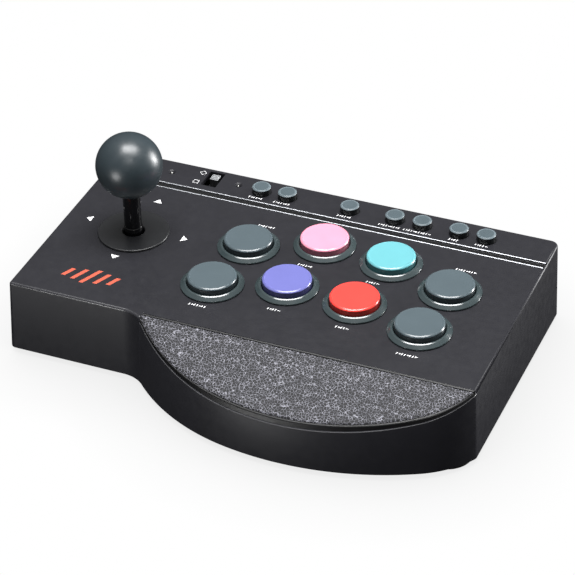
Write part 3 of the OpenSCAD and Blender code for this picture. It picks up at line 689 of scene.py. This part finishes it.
def case():
    """The case: the rounded, drafted shell outside and the CAD's own bosses, ribs and holes inside."""
    shell = make("case_shell", *outer_shell(), ROOT, case_plastic)
    combine(shell, make("rim_cutter", *rim_cutter(), ROOT, case_plastic), "DIFFERENCE")
    combine(shell, welded_copy("top_case"), "INTERSECT")
    work = welded(shell.data)
    bmesh.ops.bevel(
        work, geom=case_edges(work), offset=RIM_ROUND * MM, segments=3, profile=0.5, affect="EDGES",
        clamp_overlap=True,
    )
    bmesh.ops.triangulate(work, faces=[face for face in work.faces if len(face.verts) > 4])
    work.to_mesh(shell.data)
    work.free()
    shell.data.shade_smooth()
    shell.data.set_sharp_from_angle(angle=SHARP)
    flatten_top(shell.data)
    dress(shell, case_plastic, edge_highlight_plastic)
    paint_edge_highlights(shell.data)
    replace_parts(shell, "top_case")


# ---------- palm rest ----------

PAD_BACK = -0.7
PAD_R = REST_R - 3.3
PAD_LEFT_R = 94.7
PAD_RIGHT_R = 50.5
PAD_LEFT_JOIN = 253.0  # angles at which the wide arc hands over to the arcs at its ends
PAD_RIGHT_JOIN = 298.0
PAD_WIDE = (WIDE_C, PAD_R)
PAD_LEFT = (polar(WIDE_C, PAD_R - PAD_LEFT_R, PAD_LEFT_JOIN), PAD_LEFT_R)
PAD_RIGHT = (polar(WIDE_C, PAD_R - PAD_RIGHT_R, PAD_RIGHT_JOIN), PAD_RIGHT_R)
PAD_DEPTH = 2.4


def reach_at(centre, r, y):
    """Half the width of a circle at height y."""
    return math.sqrt(r * r - (y - centre[1]) ** 2)


PAD_X = (
    max(REST_TIP + 0.2, PAD_LEFT[0][0] - reach_at(*PAD_LEFT, PAD_BACK)),
    min(HALF_W - 2.9, PAD_RIGHT[0][0] + reach_at(*PAD_RIGHT, PAD_BACK)),
)
PAD_TURNS = (polar(*PAD_WIDE, PAD_LEFT_JOIN)[0], polar(*PAD_WIDE, PAD_RIGHT_JOIN)[0])


def pad_arc(x):
    """The circle that bounds the pad in front at x."""
    if x < PAD_TURNS[0]:
        return PAD_LEFT
    return PAD_WIDE if x < PAD_TURNS[1] else PAD_RIGHT


def pad_front(x):
    (cx, cy), r = pad_arc(x)
    return cy - math.sqrt(r * r - (x - cx) ** 2)


def pad_edge_distance(x, y):
    (cx, cy), r = pad_arc(x)
    return min(r - math.hypot(x - cx, y - cy), PAD_BACK - y)


def pad():
    """The leather pad: a sheet with a rolled edge and soft swells; its creases are in the finish."""
    columns, rows = 330, 76
    roll, sink, rise = 1.1, 0.8, 3.0
    swell_size, swell_low, swell_by = 9.0, 0.2, 0.12
    pucker_size, pucker_by = 1.1, 0.05
    end = 0.02
    points = []
    for i in range(columns + 1):
        x = PAD_X[0] + end + (PAD_X[1] - PAD_X[0] - 2 * end) * i / columns
        front = pad_front(x)
        for j in range(rows + 1):
            y = PAD_BACK + (front - PAD_BACK) * j / rows
            edge = max(pad_edge_distance(x, y), 0.0)
            round_off = roll - math.sqrt(roll ** 2 - max(roll - edge, 0) ** 2)
            swell = swell_low + swell_by * noise.noise(Vector((x / swell_size, y / swell_size, 1.0)))
            pucker = pucker_by * noise.noise(Vector((x / pucker_size, y / pucker_size, 5.0)))
            h = min(edge / rise, 1) * (swell + pucker) - sink * round_off
            points.append((x, y, pad_height(y) + h))
    size = rows + 1
    faces = [
        [i * size + j, i * size + j + 1, (i + 1) * size + j + 1, (i + 1) * size + j]
        for i in range(columns) for j in range(rows)
    ]
    border = (
        list(range(size))
        + [i * size + rows for i in range(1, columns + 1)]
        + [columns * size + j for j in range(rows - 1, -1, -1)]
        + [i * size for i in range(columns - 1, 0, -1)]
    )
    start = len(points)
    for k in border:
        x, y = points[k][:2]
        points.append((x, y, pad_height(y) - PAD_DEPTH))
    count = len(border)
    faces += [
        [border[k], start + k, start + (k + 1) % count, border[(k + 1) % count]] for k in range(count)
    ]
    faces.append([start + k for k in range(count)])
    obj = make("pad_cover", points, faces, ROOT, pad_leather, sharp=math.radians(60))
    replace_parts(obj, "palm_pad")


def along(path, share):
    """The point at a share of a polyline's length."""
    lengths = [math.dist(a, b) for a, b in zip(path, path[1:])]
    rest = share * sum(lengths)
    for a, b, length in zip(path, path[1:], lengths):
        if rest <= length:
            t = rest / length if length else 0
            return a[0] + (b[0] - a[0]) * t, a[1] + (b[1] - a[1]) * t
        rest -= length
    return path[-1]


def bearing(centre, point):
    """Direction from a centre to a point, in degrees from 0 to 360."""
    return math.degrees(math.atan2(point[1] - centre[1], point[0] - centre[0])) % 360


def lip_paths():
    """Matching outer and inner points of the palm rest's frame, from its left tip to the right wall.
    Each span pairs a stretch of the wall's arcs with a stretch of the pad's arcs."""
    inset = DRAFT * 30 + 0.5
    left = (LEFT_C, REST_LEFT_R - inset)
    wide = (WIDE_C, REST_R - inset)
    right = (RIGHT_C, REST_RIGHT_R - inset)
    fillet_r = REST_FILLET_R + inset
    tip = math.degrees(math.acos((REST_TIP + 0.15 - FILLET_C[0]) / fillet_r))
    left_tip, right_tip = [
        bearing(centre, (x, pad_front(x))) for x, centre in zip(PAD_X, (PAD_LEFT[0], PAD_RIGHT[0]))
    ]
    corner = right_tip - 2
    first, last = 262.0, 292.0
    fine = 0.3
    spans = [
        (
            arc(FILLET_C, fillet_r, tip, FILLET_END, fine)
            + arc(*left, 180 + FILLET_END, LEFT_AIM, fine) + arc(*wide, LEFT_AIM, first, fine),
            arc(*PAD_LEFT, left_tip, PAD_LEFT_JOIN, fine) + arc(*PAD_WIDE, PAD_LEFT_JOIN, first, fine),
            60,
        ),
        (arc(*wide, first, last, fine), arc(*PAD_WIDE, first, last, fine), 60),
        (
            arc(*wide, last, RIGHT_AIM, fine) + arc(*right, RIGHT_AIM, CORNER_TURN, fine),
            arc(*PAD_WIDE, last, PAD_RIGHT_JOIN, fine) + arc(*PAD_RIGHT, PAD_RIGHT_JOIN, corner, fine),
            40,
        ),
        (
            arc(CORNER_C, REST_CORNER_R - inset, CORNER_TURN, 360) + [(HALF_W - inset, -0.9)],
            arc(*PAD_RIGHT, corner, right_tip, fine),
            8,
        ),
    ]
    outer, inner = [], []
    for number, (far, near, count) in enumerate(spans):
        for i in range(1 if number else 0, count + 1):
            outer.append(along(far, i / count))
            inner.append(along(near, i / count))
    return outer, inner


def frame_lip():
    """The frame round the pad: a steep outer face over the wall's rim, rolled over to the pad's edge,
    and a bar along the panel's front edge."""
    foot = PAD_DEPTH + 1.2
    top_drop, bar_drop, gap = 0.3, 0.1, 0.15
    steps = 7
    sections = []
    for (ox, oy), (ix, iy) in zip(*lip_paths()):
        low = rim_height(oy) + 0.01
        width = math.hypot(ix - ox, iy - oy)
        high = pad_height(iy) - top_drop
        section = [(ix, iy, pad_height(iy) - foot), (ox, oy, low)]
        lean = min(0.5, 0.25 * width)
        shoulder = low + max(high - low - min(0.55 * width, 0.9), 0.15)
        for c, s in quarter(steps):
            t = (lean + (width - lean) * (1 - c)) / width
            section.append((ox + (ix - ox) * t, oy + (iy - oy) * t, shoulder + (high - shoulder) * s))
        sections.append(section)
    solids = Solids()
    solids.shell(*stacked(sections))
    front = PAD_BACK - 0.1
    bar = [(PAD_X[0], -gap), (PAD_X[0], front), (PAD_X[1], front), (PAD_X[1], -gap)]
    solids.shell(*stacked([[(x, y, pad_height(y) - drop) for x, y in bar] for drop in (foot, bar_drop)]))
    obj = solids.build("rest_frame", ROOT, lip_plastic, sharp=math.radians(50))
    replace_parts(obj, "palm_rest_frame")


# ---------- trim ----------


def trim():
    """A sunk band between two bright half-round lines, near black as partly its own dark finish and partly
    painted shade of the groove, with a bright tab down each side wall.
    """
    low, high = reach("trim_strip")
    half, crown, lift = 0.5, 0.36, 0.02
    foot, band = -0.75, -0.32
    front, rear = low.y + 0.55, high.y - 0.55
    rounds = [math.pi * k / 8 for k in range(9)]
    bead = [(half * math.cos(a), max(crown * math.sin(a), 0) + lift) for a in rounds]
    section = [(front - half, foot), (rear + half, foot)] + [(rear + v, h) for v, h in bead]
    section += [(rear - half, band), (front + half, band)] + [(front + v, h) for v, h in bead]
    end = HALF_W - DRAFT * FRONT_H - TOP_ROUND * 0.75
    solids = Solids()
    solids.shell(*stacked([[on_panel(u, v, h) for v, h in section] for u in (-end, end)]))
    top, bottom, tab_root, tab_face = -1.1, -3.6, -1.0, 0.06
    tab = [(front - half, bottom), (rear + half, bottom), (rear + half, top), (front - half, top)]
    walls = [HALF_W - SKIN - DRAFT * on_panel(0, v, h).z for v, h in tab]
    for side in (-1, 1):
        solids.shell(*stacked([
            [on_panel(side * (wall + out), v, h) for wall, (v, h) in zip(walls, tab)]
            for out in (tab_root, tab_face)
        ]))
    obj = solids.build("trim_band", ROOT, trim_metal, dark_shade_plastic)
    # the sunk band takes the near-black finish, partly painted shade of the groove
    for face in obj.data.polygons:
        heights = [NORMAL.dot(obj.data.vertices[i].co / MM - ORIGIN - EDGE) for i in face.vertices]
        if all(abs(height - band) < 0.001 for height in heights):
            face.material_index = 1
    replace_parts(obj, "trim_strip")


# ---------- buttons ----------

CAP_STEPS = 128
UPRIGHT = 0.3  # a face leans less than this from upright on the panel


def collar_profile(bore):
    """A thin flange and a cone on the panel, over a guide barrel that reaches down to the switch."""
    barrel_r, barrel_foot = 13.2, -12.9
    flange_r, flange_low = 15.15, 0.03
    lip_r, top = 12.8, 2.5
    return rounded([
        (bore, barrel_foot, 0.2), (barrel_r, barrel_foot, 0.3), (barrel_r, flange_low, 0),
        (flange_r, flange_low, 0), (flange_r, 0.3, 0.05), (15.45, 0.42, 0.1), (15.4, 0.9, 0.3),
        (13.75, 2.25, 0.2), (13.2, top, 0.1), (lip_r, top, 0.12), (bore, 1.4, 0.1),
    ], closed=True)


def collars():
    gap = 0.2
    solids = Solids()
    for node in BUTTONS:
        centre, cap_r = turned_part(node)[:2]
        solids.shell(*turned(collar_profile(cap_r + gap), centre, CAP_STEPS))
    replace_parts(solids.build("collars", ROOT, collar_plastic), "button_housings")


def paint_shaded_sides(obj):
    """Gives the faces that stand upright on the panel the piece's second finish, a darker one that paints
    shade on the sides.
    """
    for face in obj.data.polygons:
        if abs(face.normal.dot(NORMAL)) < UPRIGHT:
            face.material_index = 1


def cap(node, finish):
    """A hollow cap on a plunger, its face dished inside a raised, rounded rim."""
    centre, r, low, face = turned_part(node)
    stem_r, bore, roof = 3.0, r - 1.6, face - 2.2
    skirt, dish = -8.4, 0.1
    profile = [(0, low), (stem_r, low), (stem_r, roof), (bore, roof), (bore, skirt), (r, skirt)]
    profile += rounded([
        (r, skirt + 0.4, 0), (r, face - 0.8, 0.25), (r - 0.3, face - 0.33, 0.12), (r - 0.9, face, 0.12),
        (r - 1.5, face - dish, 0.3), (r - 4, face - dish, 0),
    ])
    profile += [(r * 0.4, face - 0.06), (0, face - 0.05)]
    piece = lathe(node + "_cap", profile, centre, node, *finish, steps=CAP_STEPS)
    paint_shaded_sides(piece)
    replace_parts(piece, node)


def key(node):
    """A small round key on a flange, its side darkened as painted shade and the rim round its dished face
    lightened as painted highlight.
    """
    centre, flange_r, low, face = turned_part(node)
    r, stem_r = 4.77, 1.5
    flange_low, flange_high = -4.15, -2.8
    rim, dish = 1.15, 0.14
    profile = [
        (0, low), (stem_r, low), (stem_r, flange_low), (flange_r, flange_low), (flange_r, flange_high),
        (r, flange_high),
    ]
    profile += rounded([
        (r, flange_high + 0.4, 0), (r, face - 0.5, 0.25), (r - 0.6, face, 0.25),
        (r - 1.1, face - 0.12, 0.2), (r - 2.5, face - dish, 0),
    ])
    profile.append((0, face - dish))
    piece = lathe(node + "_cap", profile, centre, node, *key_finish, steps=64)
    paint_shaded_sides(piece)
    middle = to_frame(on_panel(centre.x, centre.y))
    # faces near the top's outer edge take the lighter rim finish: painted highlight
    for polygon in piece.data.polygons:
        out = (polygon.center - middle).cross(NORMAL).length / MM
        if polygon.material_index == 0 and out > r - rim:
            polygon.material_index = 2
    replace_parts(piece, node)


# ---------- stick ----------

SHAFT_BORE = 3.05


def ball():
    """The ball top, cut flat below and bored for the shaft."""
    centre, r, low, high = turned_part("ball_top")
    middle = high - r
    flat = math.acos((middle - low) / r)
    bore_top = middle + 2
    count = 64
    turns = [-math.pi / 2 + flat + (math.pi - flat) * i / count for i in range(count)]
    profile = [(0, bore_top), (SHAFT_BORE, bore_top), (SHAFT_BORE, low)]
    profile += [(r * math.cos(t), middle + r * math.sin(t)) for t in turns] + [(0, high)]
    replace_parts(lathe("ball", profile, centre, "stick", ball_plastic, steps=CAP_STEPS), "ball_top")


def sleeve():
    """The tube round the shaft, with a low bead where it comes out of the washer."""
    centre, r, low, high = turned_part("shaft_sleeve")
    bead_low, bead_high, bead_r = 2.1, 4.2, r + 0.25
    profile = rounded([
        (SHAFT_BORE, low, 0), (r, low, 0.2), (r, bead_low - 0.2, 0.1), (bead_r, bead_low, 0.1),
        (bead_r, bead_high, 0.1), (r, bead_high + 0.2, 0.1), (r, high, 0.2), (SHAFT_BORE, high, 0),
    ], closed=True)
    piece = lathe("sleeve", profile, centre, "stick", sleeve_plastic, steps=72)
    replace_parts(piece, "shaft_sleeve")


def washer():
    """The dust washer: a wide disc with a short tube through the panel."""
    centre, r, low, high = turned_part("dust_washer")
    tube, bore, lift = 6.3, 5.3, 0.05
    profile = rounded([
        (bore, low, 0.2), (tube, low, 0.2), (tube, lift, 0.1), (r, lift, 0.1), (r, high, 0.55),
        (bore + 0.5, high + lift, 0.4), (bore, high - 0.5, 0.2),
    ], closed=True)
    piece = lathe("washer", profile, centre, "washer", washer_plastic, steps=CAP_STEPS)
    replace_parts(piece, "dust_washer")


# ---------- small parts ----------


def soft_box(size, low, high, r, edge, place):
    """Points and faces of a box over size = (w, d), with corner radius r and top edge radius edge."""
    steps = 4

    def ring(inset, h):
        w, d = size[0] / 2 - r, size[1] / 2 - r
        path = []
        for (x, y), a in (((w, d), 0), ((-w, d), 90), ((-w, -d), 180), ((w, -d), 270)):
            path += arc((x, y), r - inset, a, a + 90, 22.5)
        return [place(x, y, h) for x, y in path]

    return stacked(
        [ring(0, low)] + [ring(edge * (1 - c), high - edge * (1 - s)) for c, s in quarter(steps)]
    )


def slide_knob():
    """The slide switch's knob: a rounded block with grip ridges, on a foot that runs in the switch."""
    low, high = reach("slide_knob")
    centre = (low + high) / 2
    size = (high.x - low.x, high.y - low.y)
    block_low, block_high, foot_top = -5.9, high.z - 0.35, -5.0
    ridge, ridge_pitch = (size[0] - 0.8, 0.7), 1.3
    solids = Solids()

    def place(x, y, h):
        return on_panel(centre.x + x, centre.y + y, h)

    solids.shell(*soft_box(size, block_low, block_high, 0.5, 0.3, place))
    solids.shell(*soft_box((2.2, 2.2), low.z, foot_top, 0.3, 0.1, place))
    for k in (-1, 0, 1):
        solids.shell(*soft_box(
            ridge, high.z - 0.6, high.z, 0.2, 0.15, lambda x, y, h, k=k: place(x, y + ridge_pitch * k, h)
        ))
    obj = solids.build("slide_knob_cap", "slide_knob", knob_plastic, knob_shaded_side)
    # the upright sides take the darker finish: painted shade
    paint_shaded_sides(obj)
    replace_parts(obj, "slide_knob")


def lenses():
    """The two lamp lenses: light guides with a flange under the panel and a bright tip in a near-black
    rim, painted shade as of a dimple round the lamp.
    """
    points = [p - EDGE for p in local_points("indicator_lenses")]
    middle = sum(p.x for p in points) / len(points)
    flange_r, flange_top, r = 1.9, -2.55, 0.93
    lamp_r = 0.5
    solids = Solids()
    for side in (-1, 1):
        mine = [p for p in points if (p.x - middle) * side > 0]
        us, vs, hs = [[p.dot(axis) for p in mine] for axis in (ACROSS, UP_SLOPE, NORMAL)]
        u, v = middle_of(us), middle_of(vs)
        low, top = min(hs), max(hs)
        profile = [
            (0, low), (flange_r, low), (flange_r, flange_top), (r, flange_top), (r, top - 0.3),
            (0.8, top - 0.2), (0.36, top - 0.2), (0.33, top - 0.05), (0.2, top), (0, top + 0.02),
        ]
        shell, faces = turned(profile, (u, v), 48)
        tip = on_panel(u, v, top)
        # the lens outside the tip takes the near-black finish: painted shade round the lamp
        slots = [int(max((shell[i] - tip).length for i in face) > lamp_r) for face in faces]
        solids.shell(shell, faces, slots)
    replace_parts(solids.build("lamp_lenses", ROOT, lens_plastic, dark_shade_plastic), "indicator_lenses")


def feet():
    """Four round rubber feet with a ring moulded in the sole and a stem in the base plate."""
    points = local_points("rubber_feet")
    low, high = min(p.z for p in points), max(p.z for p in points)
    apart, steps = 30, 64
    places = []
    for p in points:
        if p.z < low + 0.01 and not any(math.hypot(p.x - x, p.y - y) < apart for x, y, _ in places):
            near = [q for q in points if math.hypot(p.x - q.x, p.y - q.y) < apart]
            xs, ys = [q.x for q in near], [q.y for q in near]
            places.append((middle_of(xs), middle_of(ys), (max(xs) - min(xs)) / 2))
    solids = Solids()
    for x, y, r in places:
        stem, top = r - 3.5, -0.08
        profile = [(r - 6, low + 0.35), (r - 5.2, low)]
        profile += rounded([(r - 5, low, 0), (r, low, 0.7), (r, top, 0.3), (stem, top, 0)])[1:]
        profile.append((stem, high))
        solids.shell(*stacked([
            [(*polar((x, y), pr, 360 * i / steps), pz) for i in range(steps)] for pr, pz in profile
        ]))
    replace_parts(solids.build("feet", ROOT, foot_rubber), "rubber_feet")


# ---------- printed marks ----------


def slanted(u, v, width, height, lean=0.0):
    """A bar centred on (u, v) that leans to the right by lean for each unit of height."""
    shift = lean * height / 2
    low, high = v - height / 2, v + height / 2
    left, right = u - width / 2, u + width / 2
    return [(left - shift, low), (right - shift, low), (right + shift, high), (left + shift, high)]


def strokes(u, v, width):
    """A row of thin slanted ticks, some joined by a bar, in place of a printed label centred on (u, v)."""
    heights = [1.5, 0.9, 1.5, 1.5, 0.7, 1.3]
    thick, pitch, lean, bar = 0.42, 1.3, 0.25, 0.34
    count = int(width / pitch)
    shapes = []
    for k in range(count):
        middle = u + (k - (count - 1) / 2) * pitch
        shapes.append(slanted(middle, v, thick, heights[k % len(heights)], lean))
        if k % 3 == 1:
            shapes.append(slanted(middle + pitch / 2, v, pitch - thick, bar))
    return shapes


def arrow(centre, direction):
    """A triangle round the stick that points away from it."""
    base, tip, half = 24.5, 27.5, 2.3
    dx, dy = direction
    ends = [(base, -half), (base, half), (tip, 0)]
    return [(centre[0] + a * dx - b * dy, centre[1] + a * dy + b * dx) for a, b in ends]


def square(u, v, r, turn=0.0):
    """A square sign drawn as four bars, its corners r from the middle and the first at angle turn."""
    width = 0.32
    shapes = []
    for a in (turn, turn + 90, turn + 180, turn + 270):
        ends = ((r, a), (r, a + 90), (r - width, a + 90), (r - width, a))
        shapes.append([polar((u, v), *end) for end in ends])
    return shapes


def printed(name, shapes, finish):
    """A thin piece for each shape, sunk a little in the panel."""
    low, high = -0.018, 0.012
    solids = Solids()
    for shape in shapes:
        solids.shell(*stacked([[on_panel(u, v, h) for u, v in shape] for h in (low, high)]))
    solids.build(name, ROOT, finish)


KEY_LABELS = {  # width of the label below each key
    "turbo_key": 8.9, "macro_key": 9.4, "home_key": 8.0, "share_key": 12.5, "options_key": 14.3,
    "left_press_key": 6.4, "right_press_key": 7.6,
}
KEY_LABEL_SHIFT = (-1.0, -5.9)
ARROW_SHIFT = 3.4  # the four triangles' centre lies this far up the slope from the stick
BAR_PLACE = (-83.5, 18.0)
BAR_HEIGHTS = [6.5, 9.0, 12.0, 9.0, 6.5]
BAR_WIDTH, BAR_PITCH, BAR_LEAN = 2.2, 6.0, 0.45


def marks():
    """The white triangles, labels and signs, and the row of orange bars."""
    stick = centre_of("ball_top")
    around = (stick.x, stick.y + ARROW_SHIFT)
    shapes = [arrow(around, direction) for direction in ((1, 0), (-1, 0), (0, 1), (0, -1))]
    for node, (_, du, dv, width) in BUTTONS.items():
        place = centre_of(node)
        shapes += strokes(place.x + du, place.y + dv, width)
    for node, width in KEY_LABELS.items():
        place = centre_of(node)
        shapes += strokes(place.x + KEY_LABEL_SHIFT[0], place.y + KEY_LABEL_SHIFT[1], width)
    knob = centre_of("slide_knob")
    shapes += square(knob.x - 7.0, knob.y + 0.9, 1.9)
    shapes += square(knob.x - 7.4, knob.y - 7.8, 2.0, 45.0)
    printed("white_marks", shapes, white_ink)
    u, v = BAR_PLACE
    middle = len(BAR_HEIGHTS) // 2
    bars = [
        slanted(u + BAR_PITCH * (k - middle), v, BAR_WIDTH, height, BAR_LEAN)
        for k, height in enumerate(BAR_HEIGHTS)
    ]
    printed("orange_mark", bars, orange_ink)


# ---------- build ----------

case()
pad()
frame_lip()
trim()
collars()
for node, (finish, *_) in BUTTONS.items():
    cap(node, finish)
for node in KEYS:
    key(node)
ball()
sleeve()
washer()
slide_knob()
lenses()
feet()
marks()
for finish, names in NODE_FINISH.items():
    for name in names:
        dress(frame["nodes"][name], finish)

# ---------- camera ----------

BACK = Vector((0.31554, -0.76367, 0.56325)).normalized()
ROLL = math.radians(-0.475)
AIM_AT = Vector((14.1, 1.9, 40.8)) * MM
CAMERA_FAR = 1150 * MM
LENS = 150.66
SHIFT_X = -0.0234
Z_AXIS = Vector((0, 0, 1))


def camera():
    """The camera at the viewing angle above; returns its right, up and back axes."""
    data = bpy.data.cameras.new("camera")
    data.lens = LENS
    data.sensor_width = 36
    data.shift_x = SHIFT_X
    obj = new_object("camera", data)
    right = Z_AXIS.cross(BACK).normalized()
    up = BACK.cross(right)
    c, s = math.cos(ROLL), math.sin(ROLL)
    axes = (c * right + s * up, c * up - s * right, BACK)
    matrix = Matrix(axes).transposed().to_4x4()
    matrix.translation = AIM_AT + BACK * CAMERA_FAR
    obj.matrix_world = matrix
    bpy.context.scene.camera = obj
    return axes


VIEW_RIGHT, VIEW_UP, VIEW_BACK = camera()

# ---------- light ----------


def softbox(name, direction, distance, width, height, power):
    """An area lamp, metres in size and distance and watts in power, in a direction given in camera
    axes, turned to the middle of the object."""
    data = bpy.data.lights.new(name, "AREA")
    data.shape = "RECTANGLE"
    data.size = width
    data.size_y = height
    data.energy = power
    obj = new_object(name, data)
    x, y, z = direction
    way = (VIEW_RIGHT * x + VIEW_UP * y + VIEW_BACK * z).normalized()
    obj.location = AIM_AT + way * distance
    obj.rotation_mode = "QUATERNION"
    obj.rotation_quaternion = way.to_track_quat("Z", "Y")


def toward(elevation, azimuth=0.0):
    """Camera-axes direction at a world elevation, azimuth degrees to the right of the camera's back."""
    flat = Vector((VIEW_BACK.x, VIEW_BACK.y, 0)).normalized()
    side = Z_AXIS.cross(flat)
    e, a = math.radians(elevation), math.radians(azimuth)
    way = (flat * math.cos(a) + side * math.sin(a)) * math.cos(e) + Z_AXIS * math.sin(e)
    return way.dot(VIEW_RIGHT), way.dot(VIEW_UP), way.dot(VIEW_BACK)


softbox("overhead", toward(91), 1.1, 0.8, 0.5, 26)
softbox("front_high", toward(50), 1.1, 0.3, 0.08, 1.9)
softbox("left_low", (-0.69, -0.534, 0.486), 1.2, 0.38, 0.38, 6)
softbox("right_low", toward(8, 110), 2.0, 0.5, 0.9, 60)


def new_nodes(tree, *kinds):
    tree.nodes.clear()
    return [tree.nodes.new("ShaderNode" + kind) for kind in kinds]


def link(tree, *pairs):
    for start, end in pairs:
        tree.links.new(start, end)


def world():
    """White to the camera; to the object a dim room, bright above and dark below the horizon."""
    studio = bpy.data.worlds.new("studio")
    bpy.context.scene.world = studio
    studio.use_nodes = True
    tree = studio.node_tree
    place, parts, lift, ramp, room, paper, path, mix, output = new_nodes(
        tree, "TexCoord", "SeparateXYZ", "MapRange", "ValToRGB", "Background", "Background", "LightPath",
        "MixShader", "OutputWorld",
    )
    lift.inputs["From Min"].default_value = -1.0
    paper.inputs["Color"].default_value = (1, 1, 1, 1)
    link(
        tree,
        (place.outputs["Generated"], parts.inputs[0]),
        (parts.outputs["Z"], lift.inputs["Value"]),
        (lift.outputs["Result"], ramp.inputs["Fac"]),
        (ramp.outputs["Color"], room.inputs["Color"]),
        (path.outputs["Is Camera Ray"], mix.inputs[0]),
        (room.outputs[0], mix.inputs[1]),
        (paper.outputs[0], mix.inputs[2]),
        (mix.outputs[0], output.inputs["Surface"]),
    )
    stops = [(0.0, 0.02), (0.5, 0.05), (0.62, 0.10), (0.8, 0.28), (1.0, 0.55)]
    ramp.color_ramp.elements[0].position = stops[0][0]
    ramp.color_ramp.elements[1].position = stops[-1][0]
    for position, _ in stops[1:-1]:
        ramp.color_ramp.elements.new(position)
    for element, (_, value) in zip(ramp.color_ramp.elements, stops):
        element.color = (value, value, value, 1)


def floor():
    """A white paper floor that glows evenly, with a painted shadow where the object is near."""
    half = 3.0
    points = [(-half, -half, 0), (half, -half, 0), (half, half, 0), (-half, half, 0)]
    mesh = bpy.data.meshes.new("floor")
    mesh.from_pydata(points, [], [range(4)])
    obj = new_object("floor", mesh)
    material = bpy.data.materials.new("paper")
    material.use_nodes = True
    tree = material.node_tree
    kinds = ("AmbientOcclusion", "MapRange", "Emission", "OutputMaterial")
    near, tone, light, output = new_nodes(tree, *kinds)
    # ambient occlusion dims the floor's glow near the object: a painted shadow
    near.inputs["Distance"].default_value = 0.05
    near.samples = 16
    tone.inputs["From Min"].default_value = 0.3
    tone.inputs["To Min"].default_value = 0.82
    link(
        tree,
        (near.outputs["AO"], tone.inputs["Value"]),
        (tone.outputs["Result"], light.inputs["Strength"]),
        (light.outputs[0], output.inputs["Surface"]),
    )
    mesh.materials.append(material)
    for rays in ("diffuse", "glossy", "transmission", "shadow"):
        setattr(obj, "visible_" + rays, False)


world()
floor()
bpy.context.scene.view_settings.view_transform = "Standard"
